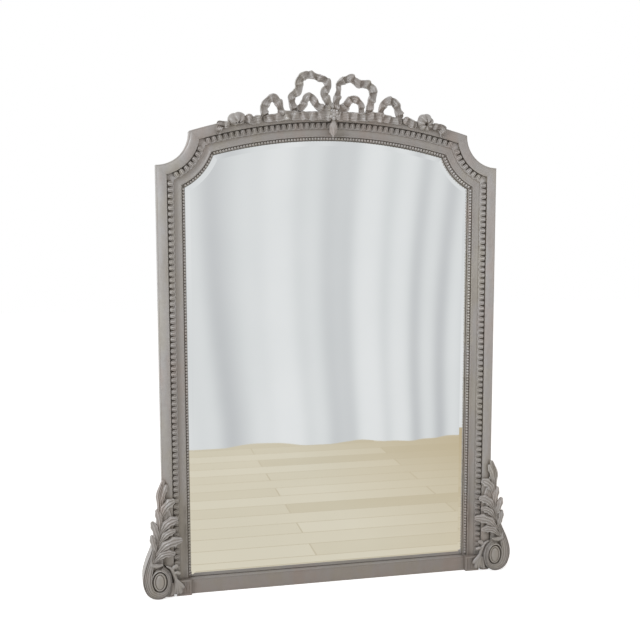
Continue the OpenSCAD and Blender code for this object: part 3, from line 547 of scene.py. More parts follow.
# the carving has a paler painted highlight on its edges and deeper painted shade in its hollows
carved_paint = weathered_shaded_paint("carved_paint_old", MID, LIGHT, scaled(WORN_AND_HIGHLIGHT, 1.12), 0.92, carved=True)
rail_mid = tinted(MID, 0.86, 0.83, 0.82)
rail_paint = weathered_shaded_paint("rail_paint_old", rail_mid, scaled(LIGHT, 0.86), WORN_AND_HIGHLIGHT, 0.62)
mirror = silvered_glass()
left_pine = pine("left_board_pine", (0.48, 0.32, 0.18), (0.27, 0.155, 0.075))
middle_pine = pine("middle_board_pine", (0.54, 0.37, 0.22), (0.31, 0.185, 0.09))
right_pine = pine("right_board_pine", (0.45, 0.29, 0.155), (0.25, 0.14, 0.065))
batten_pine = pine("batten_pine", (0.50, 0.33, 0.18), (0.26, 0.14, 0.065), upright=False)
ring_steel = old_steel("ring_steel", (0.30, 0.29, 0.275), (0.11, 0.075, 0.05))
screw_steel = old_steel("screw_steel", (0.50, 0.48, 0.45), (0.13, 0.08, 0.045))

CAD_FINISH = (
    (frame_paint, ("left_stile", "right_stile", "left_shoulder", "right_shoulder", "arched_top_rail")),
    (rail_paint, ("bottom_rail", "left_plinth_block", "right_plinth_block")),
    (mirror, ("mirror_plate",)),
    (left_pine, ("left_backboard",)),
    (middle_pine, ("middle_backboard",)),
    (right_pine, ("right_backboard",)),
    (batten_pine, ("lower_batten", "upper_batten")),
    (ring_steel, ("left_hanger_strap", "right_hanger_strap", "left_hanger_ring", "right_hanger_ring")),
    (screw_steel, ("backboard_screws", "hanger_screws")),
)
finish_of = {node_name: finish for finish, names in CAD_FINISH for node_name in names}
for node_name, obj in nodes.items():
    finish = finish_of.get(node_name, carved_paint)
    for slot in obj.material_slots:
        slot.material = finish
    if not obj.material_slots:
        obj.data.materials.append(finish)


# Runs of ornament along the moulding


def low_mitre(w):
    """Where the stile meets the shoulder, at a distance w from the sight edge."""
    return (SIGHT_X + w, SHOULDER_CZ - math.sqrt((SHOULDER_SIGHT_R - w) ** 2 - (MOULDING_W - w) ** 2))


def high_mitre(w):
    """Where the shoulder meets the arch, at a distance w from the sight edge."""
    shoulder_r, arch_r = SHOULDER_SIGHT_R - w, ARCH_SIGHT_R + w
    rise = SHOULDER_CZ - ARCH_CZ
    between = math.hypot(FRAME_HALF, rise)
    along = (arch_r ** 2 - shoulder_r ** 2 + between ** 2) / (2 * between)
    across = math.sqrt(arch_r ** 2 - along ** 2)
    ux, uz = FRAME_HALF / between, rise / between
    return (along * ux - across * uz, ARCH_CZ + along * uz + across * ux)


def angle_to(point, centre):
    return math.atan2(point[1] - centre[1], point[0] - centre[0]) % FULL_TURN


class Run:
    """A stile's, shoulder's or arch's run of ornament, placed by w and q.

    w is the distance from the sight edge, and q the height on a stile or the angle on a curve.
    """

    def __init__(self, kind, side):
        self.kind = kind
        self.side = side

    def ends(self, w):
        if self.kind == "stile":
            return BLOCK_H + CLEARANCE, low_mitre(w)[1]
        if self.kind == "shoulder":
            return angle_to(high_mitre(w), SHOULDER_CENTRE), angle_to(low_mitre(w), SHOULDER_CENTRE)
        start = angle_to(high_mitre(w), ARCH_CENTRE)
        return start, math.pi - start

    def radius(self, w):
        return SHOULDER_SIGHT_R - w if self.kind == "shoulder" else ARCH_SIGHT_R + w

    def place(self, w, q):
        """The point (x, z) of the front view at w and q."""
        if self.kind == "stile":
            return self.side * (SIGHT_X + w), q
        cx, cz = SHOULDER_CENTRE if self.kind == "shoulder" else ARCH_CENTRE
        return self.side * (cx + self.radius(w) * math.cos(q)), cz + self.radius(w) * math.sin(q)

    def at(self, w, t):
        """The point at w and at a share t of the run's length."""
        start, stop = self.ends(w)
        return self.place(w, start + (stop - start) * t)

    def stations(self, w, pitch, keep):
        """Evenly spread places, each a function of (w, along) that gives a point of the front view.

        No place lies nearer to the run's ends than keep.
        """
        start, stop = self.ends(w)
        radius = 1.0 if self.kind == "stile" else self.radius(w)
        total = abs(stop - start) * radius
        sign = 1.0 if stop > start else -1.0
        count = math.floor((total - 2 * keep) / pitch)
        for i in range(count + 1):
            q = start + sign * (total / 2 + (i - count / 2) * pitch) / radius
            yield lambda w2, along, q=q: self.place(w2, q + along / radius)


STRIP_STEPS = {"stile": 4, "shoulder": 40, "arch": 40}
STRIP_HOLLOW = 0.5


def strip(shape, run, w0, w1, h0, h1):
    """A bar along the run, from w0 to w1 and from h0 to h1, slightly hollow on its front."""
    steps = STRIP_STEPS[run.kind]
    section = ((w0, h0), (w1, h0), (w1, h1), ((w0 + w1) / 2, h1 - STRIP_HOLLOW), (w0, h1))
    rings = []
    for i in range(steps + 1):
        rings.append([world(*run.at(w, i / steps), h) for w, h in section])
    shape.tube(rings)


PEARL_INSET = 0.4
PEARL_W = PEARL_R + PEARL_INSET
PEARL_LIFT = 2.4
PEARL_KEEP = PEARL_R + 1.2
BED_FOOT = LIP_H + 0.1
BED_H = LIP_H + 3.0
KERB_W = 2.2
KERB_H = LIP_H + 7.5
PEARL_ROWS = 8
PEARL_COLUMNS = 14


def pearl_run(name, run, rng):
    """A string of pearls on its bed, with a kerb behind them. Each pearl differs a little."""
    shape = Shape()
    strip(shape, run, PEARL_INSET, LEDGE_W, BED_FOOT, BED_H)
    strip(shape, run, LEDGE_W - KERB_W, LEDGE_W, BED_FOOT, KERB_H)
    for place in run.stations(PEARL_W, PEARL_PITCH, PEARL_KEEP):
        r = PEARL_R * rng.uniform(0.97, 1.0)
        off_w, off_u = rng.uniform(-0.12, 0.12), rng.uniform(-0.15, 0.15)
        rings = []
        for i in range(PEARL_ROWS + 1):
            latitude = math.pi * (i / PEARL_ROWS - 0.5) * 0.998
            reach = r * math.cos(latitude)
            height = LIP_H + PEARL_LIFT + PEARL_R + r * math.sin(latitude)
            ring = []
            for k in range(PEARL_COLUMNS):
                longitude = FULL_TURN * k / PEARL_COLUMNS
                w = PEARL_W + off_w + reach * math.cos(longitude)
                ring.append(world(*place(w, off_u + reach * math.sin(longitude)), height))
            rings.append(ring)
        shape.tube(rings)
    make(name, shape, strip_paint, sharp=60)


LEAF_ROOT = 35.2
LEAF_TIP = 53.0
LEAF_HALF = 7.3
LEAF_H = 8.4
LEAF_KEEP = 0.8 * LEAF_PITCH
GROOVE = 1.7
TIP_GROOVE = 0.3 * GROOVE
RIB_H = 0.544
GROUND_SINK = 0.6

# Places along a leaf, as shares of its length, and the root's width and height, as shares of the full size
LEAF_WIDEST = 0.55
LEAF_HIGHEST = 0.75
LEAF_TURN = 0.86
GROOVE_START = 0.25
RIB_END = 0.8
LEAF_ROOT_WIDTH = 0.72
LEAF_ROOT_HEIGHT = 0.42

# Powers that round a leaf's tip and edge, the tip's bend in radians, and its rim's share of its height
TIP_POWER = 3.2
EDGE_POWER = 5
TIP_BEND = 0.7
RIM_SHARE = 0.20

# Places across a leaf, from 0 at its middle to 1 at its edge, each with a width
RIM = (0.80, 0.15)
RIM_GROOVE = (0.46, 0.20)
MIDRIB = (0.0, 0.15)


def leaf_relief(shape, place, tip, height):
    """A broad tongue of a leaf with a raised rim, a groove inside it and a rib up the middle."""
    along, across = 12, 14
    rings = []
    for i in range(along + 1):
        t = i / along
        w = LEAF_ROOT + (tip - LEAF_ROOT) * t
        half = LEAF_HALF * ease(LEAF_ROOT_WIDTH, t / LEAF_WIDEST)
        if t >= LEAF_WIDEST:
            half = LEAF_HALF * math.sqrt(max(0.0, 1 - ((t - LEAF_WIDEST) / (1 - LEAF_WIDEST)) ** TIP_POWER))
        half = max(half, 0.05)
        lift = height * ease(LEAF_ROOT_HEIGHT, t / LEAF_HIGHEST)
        if t > LEAF_TURN:
            lift *= math.cos((t - LEAF_TURN) / (1 - LEAF_TURN) * TIP_BEND)
        groove = GROOVE * min(1.0, t / GROOVE_START) if t < LEAF_HIGHEST else TIP_GROOVE
        rib = RIB_H if t < RIB_END else 0
        front, ground = [], []
        for k in range(across + 1):
            a = -1 + 2 * k / across
            fall = math.sqrt(max(0.0, 1 - abs(a) ** EDGE_POWER))
            relief = lift * (1 - RIM_SHARE + RIM_SHARE * ridge(abs(a), *RIM))
            relief += rib * ridge(a, *MIDRIB) - groove * ridge(abs(a), *RIM_GROOVE)
            x, z = place(w, a * half)
            front.append(world(x, z, GROUND_H + relief * fall))
            ground.append(world(x, z, GROUND_H - GROUND_SINK))
        rings.append(front + ground[::-1])
    shape.tube(rings)


FILLET_W0 = CHANNEL_W0 - 1.7
FILLET_W1 = CHANNEL_W0 + 1.6
FILLET_SINK = 3.0
FILLET_RISE = 0.55
DART_ROOT = 42.0
DART_TIP = 53.0
DART_HALF = 2.0
DART_H = 5.6
DART_GROWTH = ((0.0, 0.15), (0.15, 0.35), (0.55, 0.55), (0.74, 1.0), (0.86, 0.8), (1.0, 0.05))
DART_SECTION = ((-0.6, 0.55), (0, 1.0), (0.6, 0.55))


def dart(shape, place):
    """A small arrowhead between two leaves: a keeled bar that swells near its tip."""
    rings = []
    for t, grow in DART_GROWTH:
        w = DART_ROOT + (DART_TIP - DART_ROOT) * t
        tall = DART_H * (0.4 + 0.6 * grow)
        section = [(-1, -GROUND_SINK)] + [(a, tall * h) for a, h in DART_SECTION] + [(1, -GROUND_SINK)]
        rings.append([world(*place(w, a * DART_HALF * grow), GROUND_H + h) for a, h in section])
    shape.tube(rings)


def leaf_run(name, run, rng):
    """Leaves and darts in turn on the ground of the channel, with a fillet at their root."""
    shape = Shape()
    strip(shape, run, CHANNEL_W0, CHANNEL_W1, CHANNEL_H, GROUND_H)
    strip(shape, run, FILLET_W0, FILLET_W1, GROUND_H - FILLET_SINK, GROUND_H + FILLET_RISE)
    for place in run.stations((CHANNEL_W0 + CHANNEL_W1) / 2, LEAF_PITCH, LEAF_KEEP):
        height = LEAF_H * rng.uniform(0.92, 1.0)
        leaf_relief(shape, place, LEAF_TIP - rng.uniform(0, 0.5), height)
        dart(shape, lambda w, along, p=place: p(w, along + LEAF_PITCH / 2))
    make(name, shape, strip_paint, sharp=50)


runs = []
for side_name, side in SIDES:
    runs.append((f"{side_name}_", Run("stile", side)))
    runs.append((f"{side_name}_shoulder_", Run("shoulder", side)))
runs.append(("arch_", Run("arch", 1)))
ornament_draw = random.Random(7)
for prefix, run in runs:
    pearl_run(f"{prefix}pearls", run, ornament_draw)
    leaf_run(f"{prefix}leaf_and_dart", run, ornament_draw)


# Ribbon crest


RIBBON_T = 10.8
RIBBON_H = SEAT_H + 5.5
RIBBON_STEPS = 8
RIBBON_ACROSS = 20
FOLD_PITCH = 27.0
FOLD_RISE = 0.76
END_ROUND = 7

# The ribbon's relief as shares of its thickness: its base, the rolling folds, the rims at both edges, the
# hollow between them, the fine pleats and the fall outside the rims
BASE_RISE = 0.08
FOLD_HEIGHT = 0.72
RIM_HEIGHT = 0.19
HOLLOW_DEPTH = 0.22
PLEAT_HEIGHT = 0.045
EDGE_FALL = 0.36
PLEATS = 3.3
RIM_PLACE = (0.42, 0.06)
EDGE_AT = 0.44


def fold_height(u):
    """Height of the ribbon within one fold, 0 to 1: a slow rise, then a quick fall."""
    u %= 1.0
    t = u / FOLD_RISE if u < FOLD_RISE else (1 - u) / (1 - FOLD_RISE)
    return t * t * (3 - 2 * t)


def ribbon(shape, route, phase, roll):
    """Carved ribbon: its front rolls in folds between two raised rims, and its back is flat."""
    points = smooth(route, RIBBON_STEPS)
    along = [0.0]
    for a, b in zip(points, points[1:]):
        along.append(along[-1] + math.hypot(b[0] - a[0], b[1] - a[1]))
    total = along[-1]
    folds = max(1, round(total / FOLD_PITCH))
    turns = [folds * d / total + phase for d in along]
    path = []
    for (x, z, lift, twist, _), turn in zip(points, turns):
        path.append((x, z, RIBBON_H + lift, twist + roll * math.sin(math.pi * turn)))

    def section(i):
        turn = turns[i]
        near_end = min(1.0, min(along[i], total - along[i]) / END_ROUND)
        end = math.sqrt(max(0.03, 1 - (1 - near_end) ** 2))
        width = points[i][4] * end * (0.91 + 0.15 * fold_height(turn))
        skew = 0.45 * math.sin(math.pi * turn)
        front = []
        for k in range(RIBBON_ACROSS + 1):
            a = -0.5 + k / RIBBON_ACROSS
            rise = BASE_RISE + FOLD_HEIGHT * fold_height(turn + skew * a)
            rise += RIM_HEIGHT * ridge(abs(a), *RIM_PLACE) - HOLLOW_DEPTH * (1 - 4 * a * a)
            rise += PLEAT_HEIGHT * math.cos(FULL_TURN * PLEATS * a + 2.2 * turn)
            rise -= EDGE_FALL * max(0.0, (abs(a) - EDGE_AT) / (0.5 - EDGE_AT)) ** 2
            front.append((a * width, RIBBON_T * rise * (0.4 + 0.6 * end)))
        back = 0.42 * width
        return front + [(back, -0.5 * RIBBON_T), (-back, -0.5 * RIBBON_T)]

    sweep(shape, path, section)


# Routes of the ribbon as drawn on the right half, each point [x, z, lift, twist, width] in mm and degrees
BAND = [
    (6, 1482, 0, 0, 26), (24, 1480, 2, 8, 27), (44, 1482, 0, 0, 26), (66, 1479, 2, -8, 27),
    (88, 1481, 0, 0, 26), (110, 1480, 2, 8, 28), (134, 1482, 0, 0, 30), (158, 1478, 2, -8, 28),
    (180, 1473, 0, 0, 24), (202, 1470, 1, 6, 22), (217, 1468, 0, 0, 22),
]
LEFT_ROUTES = {
    "bow_loop": [
        [(8, 1500, 1, 0, 24), (22, 1530, 2, 14, 25), (30, 1550, 1, 0, 26), (18, 1570, 3, -14, 25),
         (27, 1588, 1, 0, 23), (47, 1595, 0, 12, 22), (63, 1600, 1, 0, 22), (79, 1602.4, 3, -10, 25),
         (96, 1597, 1, 0, 26), (107, 1582, 0, 12, 25), (108, 1567, 3, 0, 27), (113, 1552, 1, -12, 26),
         (129, 1539, 1, 0, 24), (131, 1525, 3, 10, 23), (126, 1506, 1, 0, 24), (117, 1491, 0, 0, 22)],
        [(114, 1500, 3, 0, 22), (100, 1507, 1, 12, 24), (92, 1521, 3, 0, 23), (83, 1536, 0, -10, 24),
         (69, 1536, 1, 0, 24), (59, 1520, 3, 12, 24), (43, 1506, 1, 0, 25), (10, 1500, 3, 0, 22)],
    ],
    "ribbon_band": [BAND],
    "side_loop": [
        [(160, 1480, 1, 0, 21), (165, 1500, 1, 10, 22), (171, 1515, 3, 0, 26), (184, 1531, 1, -12, 26),
         (197, 1528, 0, 0, 23), (209, 1515, 2, 12, 25), (216, 1500, 3, 0, 27), (213, 1484, 1, -10, 24),
         (204, 1473, 0, 0, 20)],
    ],
    "ribbon_wave": [
        [(222, 1470, 0, 0, 23), (237, 1467, 2, 12, 25), (251, 1463, 0, 0, 27), (264, 1469, 2, -12, 25),
         (276, 1464, 0, 0, 23)],
    ],
    "ribbon_end": [
        [(318, 1452, 1, 0, 20), (332, 1450, 2, 12, 20), (344, 1447, 0, 0, 20), (351, 1436, 1, -10, 18),
         (352, 1420, -1, 0, 12)],
        [(326, 1452, 2, 0, 18), (340, 1453, 3, 0, 16), (350, 1454, 1, 0, 14), (358, 1452, 0, 0, 9)],
    ],
}
RIGHT_ROUTES = {
    "bow_loop": [
        [(6, 1500, 1, 0, 24), (8, 1528, 2, -12, 24), (12, 1545, 1, 0, 21), (15, 1562, 3, 12, 15),
         (15, 1576, 1, 0, 19), (27, 1587, 1, -12, 23), (42, 1592, 0, 0, 25), (55, 1595, 1, 12, 25),
         (67, 1587, 3, 0, 24), (80, 1580, 1, -12, 26), (95, 1580, 0, 0, 27), (110, 1576, 1, 12, 26),
         (122, 1563, 3, 0, 26), (124, 1548, 1, -12, 27), (119, 1530, 1, 0, 25), (114, 1510, 2, 10, 24),
         (109, 1489, 0, 0, 24)],
        [(12, 1502, 3, 0, 26), (34, 1509, 1, -10, 29), (46, 1525, 2, 0, 23), (58, 1534, 0, 10, 23),
         (73, 1530, 1, 0, 22), (85, 1517, 3, -10, 19), (87, 1500, 1, 0, 19), (87, 1486, 1, 0, 19)],
    ],
    "ribbon_band": [BAND],
    "side_loop": [
        [(150, 1478, 1, 0, 20), (150, 1500, 1, -10, 20), (156, 1517, 3, 0, 23), (168, 1528, 1, 12, 27),
         (186, 1530, 0, 0, 27), (199, 1518, 2, -12, 25), (204, 1500, 3, 0, 26), (211, 1485, 1, 8, 26),
         (216, 1478, 0, 0, 23)],
    ],
    "ribbon_wave": [
        [(221, 1474, 0, 0, 22), (238, 1470, 2, -12, 25), (252, 1462, 0, 0, 25), (266, 1456, 2, 0, 23)],
    ],
    "ribbon_end": [
        [(316, 1456, 1, 0, 20), (330, 1455, 2, -12, 22), (343, 1450, 0, 0, 20), (350, 1438, 1, 10, 18),
         (350, 1422, -1, 0, 12)],
        [(326, 1457, 2, 0, 18), (342, 1456, 3, 0, 18), (353, 1453, 1, 0, 14), (362, 1448, 0, 0, 9)],
    ],
}
ROLL = {"bow_loop": 15, "ribbon_band": 7, "side_loop": 15, "ribbon_wave": 9, "ribbon_end": 6}
for side_name, parts in (("left", LEFT_ROUTES), ("right", RIGHT_ROUTES)):
    for part, routes in parts.items():
        shape = Shape()
        for k, route in enumerate(routes):
            ribbon(shape, flip(route) if side_name == "left" else route, 0.3 + 0.45 * k, ROLL[part])
        make(f"{side_name}_{part}", shape, carved_paint, sharp=50)

PUFF_ROWS = 24
PUFF_STEPS = 84
MOUTH_SHARE = 0.16

# How a puff's mouth narrows and sinks, and its pleats sway and lean (radians), sharpen and lower the dome
MOUTH_TAPER = 0.9
MOUTH_SINK = 0.75
PLEAT_SWAY = 1.5
PLEAT_LEAN = 2.2
PLEAT_POWER = 1.6
PLEAT_DROP = 1.1


def gathered_puff(shape, centre, radius, tall, mouth, mouth_r, pleats, depth):
    """A puff of rolled ribbon: pleats gather from its foot into a mouth on its front.

    depth is how far a pleat cuts in, as a share of the radius.
    """
    dome = 1 - MOUTH_SHARE
    rings = []
    for j in range(PUFF_ROWS + 1):
        t = j / PUFF_ROWS
        latitude = 0.5 * math.pi * min(1.0, t / dome)
        shift = 1 - math.cos(latitude)
        x0 = centre[0] + (mouth[0] - centre[0]) * shift
        z0 = centre[1] + (mouth[1] - centre[1]) * shift
        dip = max(0.0, (t - dome) / MOUTH_SHARE)
        r = mouth_r * (1 - MOUTH_TAPER * dip) if dip else mouth_r + (radius - mouth_r) * math.cos(latitude)
        reach = math.sin(0.5 * math.pi * min(1.0, 0.25 + 1.2 * t))
        ring = []
        for k in range(PUFF_STEPS):
            angle = FULL_TURN * k / PUFF_STEPS
            wave = math.cos(pleats * angle + PLEAT_SWAY * math.sin(angle + 1) + PLEAT_LEAN * t)
            cut = depth * (0.5 + 0.5 * wave) ** PLEAT_POWER * reach
            h = tall * math.sin(latitude) * (1 - PLEAT_DROP * cut) * (1 - MOUTH_SINK * dip)
            inward = r * (1 - cut)
            ring.append(world(x0 + inward * math.cos(angle), z0 + inward * math.sin(angle), SEAT_H + h))
        rings.append(ring)
    shape.tube(rings)


# Each lobe: centre, radius, height, mouth's centre and radius, number of pleats and their depth
PUFFS = {
    "left_ribbon_puff": [
        ((-290, 1470), 19.8, 20.5, (-293, 1457), 3.4, 4, 0.17),
        ((-306, 1466.5), 19.5, 19.0, (-300, 1455), 3.0, 3, 0.17),
    ],
    "right_ribbon_puff": [((295, 1468.5), 27.5, 20.5, (296, 1462), 8.5, 7, 0.20)],
}
for puff_name, lobes in PUFFS.items():
    shape = Shape()
    for lobe in lobes:
        gathered_puff(shape, *lobe)
    make(puff_name, shape, carved_paint, sharp=60)

# The rosette: a petal's (distance from the middle, h), and the button over the petals as (height, radius)
KNOT_Z = ARCH_TOP - 12.0
BUTTON_FOOT = 57.0
PETALS = 6
PETAL_W = 14.0
PETAL_T = 5.0
PETAL_PATH = ((3, 65), (8, 67), (13, 65.5), (16.5, 62))
BUTTON = [(0, 10), (6, 10), (9, 7.2), (10.8, 6.6), (14, 5.8), (16, 3.6), (17, 0.4)]
rosette = Shape()
for i in range(PETALS):
    angle = math.radians(30) + FULL_TURN * i / PETALS
    path = [(d * math.cos(angle), KNOT_Z + d * math.sin(angle), h) for d, h in PETAL_PATH]
    blade(rosette, path, PETAL_W, PETAL_T, ribs=1, rib_depth=0.4, curl=0.0, across=8, steps=4)
rosette.lathe(world(0, KNOT_Z, BUTTON_FOOT), (0, -1, 0), BUTTON, 24)
make("knot_rosette", rosette, carved_paint, sharp=50)

# The bell-flower drop: petals as (distance aside, width, share of the length), and the cup over them
DROP_TOP = ARCH_TOP - 24
DROP_L = 58.0
DROP_T = 6.5
DROP_PETALS = ((-8.5, 9.5, 0.74), (8.5, 9.5, 0.74), (-4.5, 10, 0.84), (4.5, 10, 0.84), (0, 11, 0.96))
CUP = [(-3, 0.5), (-2, 4.5), (0, 6.8), (3, 7.0), (5, 5.6), (6, 1)]
bellflower = Shape()
for aside, width, share in DROP_PETALS:
    path = [
        (0.35 * aside, DROP_TOP + 2, 57),
        (0.55 * aside, DROP_TOP - 0.22 * DROP_L, 58.5),
        (0.9 * aside, DROP_TOP - 0.6 * share * DROP_L, 58 - 0.8 * abs(aside) / 4.5),
        (aside, DROP_TOP - share * DROP_L, 51),
    ]
    blade(bellflower, path, width, DROP_T, ribs=1, rib_depth=0.35, curl=1.5, across=10, steps=5)
bellflower.lathe(world(0, DROP_TOP + 1, 57.5), (0, -0.2, -1), CUP, 20)
make("bellflower_drop", bellflower, carved_paint, sharp=50)


# Foot brackets


# The scroll's band as (x from the volute's centre, z, width, h), and its grooves as (place, width, depth)
SCROLL_ROUTE = [
    (-7, 322, 7, 56), (-5, 285, 10, 57), (-2, 240, 13, 58), (4, 195, 17, 60), (14, 150, 21, 64),
    (28, 110, 25, 71), (36.8, 72, 28, 74), (35.3, 44, 28, 74), (24, 20, 25, 74), (0, 10.7, 21, 74),
    (-22, 21, 17, 74), (-32, 48, 12, 73), (-27, 78, 12, 72), (-8, 97, 12, 71),
]
SCROLL_STEPS = 9
SCROLL_ACROSS = 32
BAND_FALL = 1.1
BRIM_AT = 0.84
BRIM_FALL = 2.6
SCROLL_GROOVES = ((-0.70, 0.075, 4.2), (-0.34, 0.08, 3.0), (0.08, 0.08, 2.2), (0.68, 0.08, 2.6))
BACK_H = 8.0

# Outline (x, z) and height of the web between scroll and stile
WEB_EDGE = FRAME_HALF + CLEARANCE
WEB = [
    (WEB_EDGE, 60), (WEB_EDGE, 312), (548, 285), (552, 240), (558, 195), (568, 150), (581, 110), (573, 60),
]
WEB_H = 55.8

# Profiles of the upright ovals: (half width, how much more the half height is, h)
OVAL_CX = VOLUTE_CX - 1
VOLUTE_OVAL = [
    (30, 10, CARCASS_H), (30, 10, 62), (28.5, 10, 68), (27, 10, 71.5), (25.6, 10, 72.6), (24.6, 10, 72),
    (23.8, 10, 68), (23.0, 10, 60), (22, 10, 58), (17, 10, 57.5), (2, 6, 57.5),
]
CABOCHON_OVAL = [
    (19, 10, 58), (20, 10, 61), (20, 10, 66.4), (19.4, 10, 68), (18.2, 10, 68.9), (16, 10, 69.1),
    (14.8, 10, 68.7), (14.2, 10, 67.0), (13.4, 10, 66.6), (12.8, 10, 67.4), (12.2, 10, 69.8),
    (10.8, 10, 71.2), (8, 9, 72.2), (4, 7, 72.8), (0.3, 1, 73),
]


def oval(shape, side, profile, steps=56):
    """A form with upright ovals as its rings, in the middle of the volute."""
    rings = []
    for half, extra, h in profile:
        ring = []
        for k in range(steps):
            angle = FULL_TURN * k / steps
            x = side * OVAL_CX + half * math.cos(angle)
            ring.append(world(x, VOLUTE_CZ + (half + extra) * math.sin(angle), h))
        rings.append(ring)
    shape.tube(rings)


def band_drop(a, outward):
    """How far the scroll's band lies below its crown, at a place -1 to 1 across it."""
    drop = BAND_FALL * a * a + BRIM_FALL * max(0.0, (abs(a) - BRIM_AT) / (1 - BRIM_AT)) ** 2
    return drop + sum(depth * ridge(outward, place, width) for place, width, depth in SCROLL_GROOVES)


def scroll(name, side):
    """The volute bracket: its grooved band, the stepped oval inside it and the web to the stile."""
    shape = Shape()
    points = smooth([(VOLUTE_CX + x, z, h, width) for x, z, width, h in SCROLL_ROUTE], SCROLL_STEPS)
    if side < 0:
        points = flip(points)
    flat_frames = frames_along([(p[0], p[1], 0) for p in points])
    rings = []
    for (_, _, h, width), (point, sideways, _) in zip(points, flat_frames):
        section = []
        for k in range(SCROLL_ACROSS + 1):
            a = -1 + 2 * k / SCROLL_ACROSS
            section.append((a * width / 2, h - band_drop(a, a * side)))
        section += [(width / 2, BACK_H), (-width / 2, BACK_H)]
        ring = []
        for offset, height in section:
            place = point + sideways * offset * MM
            lowest = CARCASS_H if abs(place.x) < WEB_EDGE * MM else 0
            ring.append(place + Vector((0, -max(height, lowest) * MM, 0)))
        rings.append(ring)
    shape.tube(rings)
    oval(shape, side, VOLUTE_OVAL)
    shape.tube([[world(side * x, z, h) for x, z in WEB] for h in (BACK_H, WEB_H)])
    make(name, shape, carved_paint, sharp=55)


def cabochon(name, side):
    shape = Shape()
    oval(shape, side, CABOCHON_OVAL)
    make(name, shape, carved_paint, sharp=60)


# Lobes of the leaves on the right: path of [x, z, h], width, height, ribs and curl of the tip
ACANTHUS = [
    ([(570, 118, 59), (551, 150, 59.5), (540, 192, 59.5), (535, 240, 59.5), (538, 292, 59),
      (543, 322, 58.5)], 47, 6, 7, 0),
    ([(577, 120, 65), (566, 160, 62), (554, 205, 61), (548, 250, 60), (546, 300, 60), (547, 335, 62),
      (540, 360, 60.5), (536, 374, 58.5)], 27, 9.5, 4, 2),
    ([(547, 300, 60), (538, 335, 62.5), (527, 361, 59)], 23, 9, 2, 3),
    ([(549, 222, 60), (551, 255, 64), (558, 286, 61)], 24, 10, 2, 4),
    ([(555, 186, 60), (563, 220, 65), (573, 248, 60)], 25, 10, 2, 4),
    ([(562, 146, 61), (570, 178, 65), (575, 205, 60)], 21, 9, 2, 4),
    ([(548, 252, 60), (534, 287, 65.6), (518, 302, 64), (503, 309, 59)], 33, 10, 3, 4),
    ([(550, 202, 60), (530, 234, 66.0), (512, 246, 64), (495, 249, 59)], 34, 10.5, 3, 4),
    ([(553, 172, 60), (534, 201, 65.6), (518, 211, 64), (503, 214, 59)], 29, 9.5, 3, 4),
    ([(562, 138, 61), (533, 169, 66.1), (507, 180, 65), (481, 183, 59)], 36, 10.5, 3, 4),
    ([(569, 117, 63), (545, 139, 66.2), (525, 144, 64), (504, 139, 59)], 30, 10, 3, 4),
    ([(577, 128, 65.5), (576, 112, 67.6), (561, 107, 67.6), (541, 109, 65.5)], 17, 7.5, 1, 1),
]
SPRIG = [
    ([(532, 102, 62), (517, 92, 62), (509, 74, 60), (502, 50, 58.5), (495, 36, 58)], 12, 5, 1, 0),
    ([(508, 62, 59), (494, 42, 60.5), (477, 27, 59)], 16, 5, 1, 1),
    ([(506, 52, 59), (505, 30, 60.5), (509, 10, 59)], 14, 5, 1, 1),
    ([(504, 52, 59), (493, 30, 60.5), (488, 9, 59)], 15, 5, 1, 1),
    ([(505, 50, 59), (499, 28, 61), (498, 8, 59)], 11, 5, 1, 1),
    ([(513, 46, 59), (514, 25, 60), (518, 6, 58.5)], 14, 5, 1, 1),
    ([(514, 88, 60), (507, 96, 61), (495, 101, 59.5)], 13, 4.5, 1, 1),
    ([(510, 76, 60), (499, 78, 61), (488, 73, 59.5)], 11, 4.5, 1, 1),
]


def leaves(name, side, lobes, scallops):
    shape = Shape()
    for path, width, height, ribs, curl in lobes:
        blade(shape, path if side > 0 else flip(path), width, height, ribs, rib_depth=0.36, curl=curl,
              across=18, steps=8, scallops=scallops)
    make(name, shape, carved_paint, sharp=50)


for side_name, side in SIDES:
    scroll(f"{side_name}_scroll", side)
    cabochon(f"{side_name}_cabochon", side)
    leaves(f"{side_name}_acanthus", side, ACANTHUS, 3)
    leaves(f"{side_name}_leaf_sprig", side, SPRIG, 0)


# Camera, as fitted to the photograph


SENSOR = 36.0
PHOTO_SIZE = 640.0
FOCAL_PIXELS = 948.7
PITCH, YAW, ROLL_ANGLE = math.radians(-6.29), math.radians(12.56), math.radians(-0.07)
camera_data = bpy.data.cameras.new("camera")
camera_data.sensor_width = SENSOR
camera_data.lens = FOCAL_PIXELS / PHOTO_SIZE * SENSOR
camera = add_object("camera", camera_data)
bpy.context.scene.camera = camera
look = Vector((math.sin(YAW) * math.cos(PITCH), math.cos(YAW) * math.cos(PITCH), math.sin(PITCH)))
turn = look.to_track_quat("-Z", "Y").to_matrix() @ Matrix.Rotation(ROLL_ANGLE, 3, "Z")
camera.location = (-0.683, -2.931, 1.180)
camera.rotation_euler = turn.to_euler()


# Stage: the floor, and a glowing drape and boards that only the mirror shows


def rectangle(half, y0, y1, z):
    """Corners and face of a level sheet, from -half to half in x."""
    return [(-half, y0, z), (half, y0, z), (half, y1, z), (-half, y1, z)], [(0, 1, 2, 3)]


def stage_sheet(name, verts, faces, material):
    mesh = bpy.data.meshes.new(name)
    mesh.from_pydata(verts, [], faces)
    for polygon in mesh.polygons:
        polygon.use_smooth = True
    mesh.materials.append(material)
    obj = add_object(name, mesh)
    return obj


def glass_card(name, verts, faces, material):
    """A stage sheet that nothing but glossy rays see."""
    obj = stage_sheet(name, verts, faces, material)
    for ray in ("camera", "diffuse", "shadow", "transmission"):
        setattr(obj, f"visible_{ray}", False)


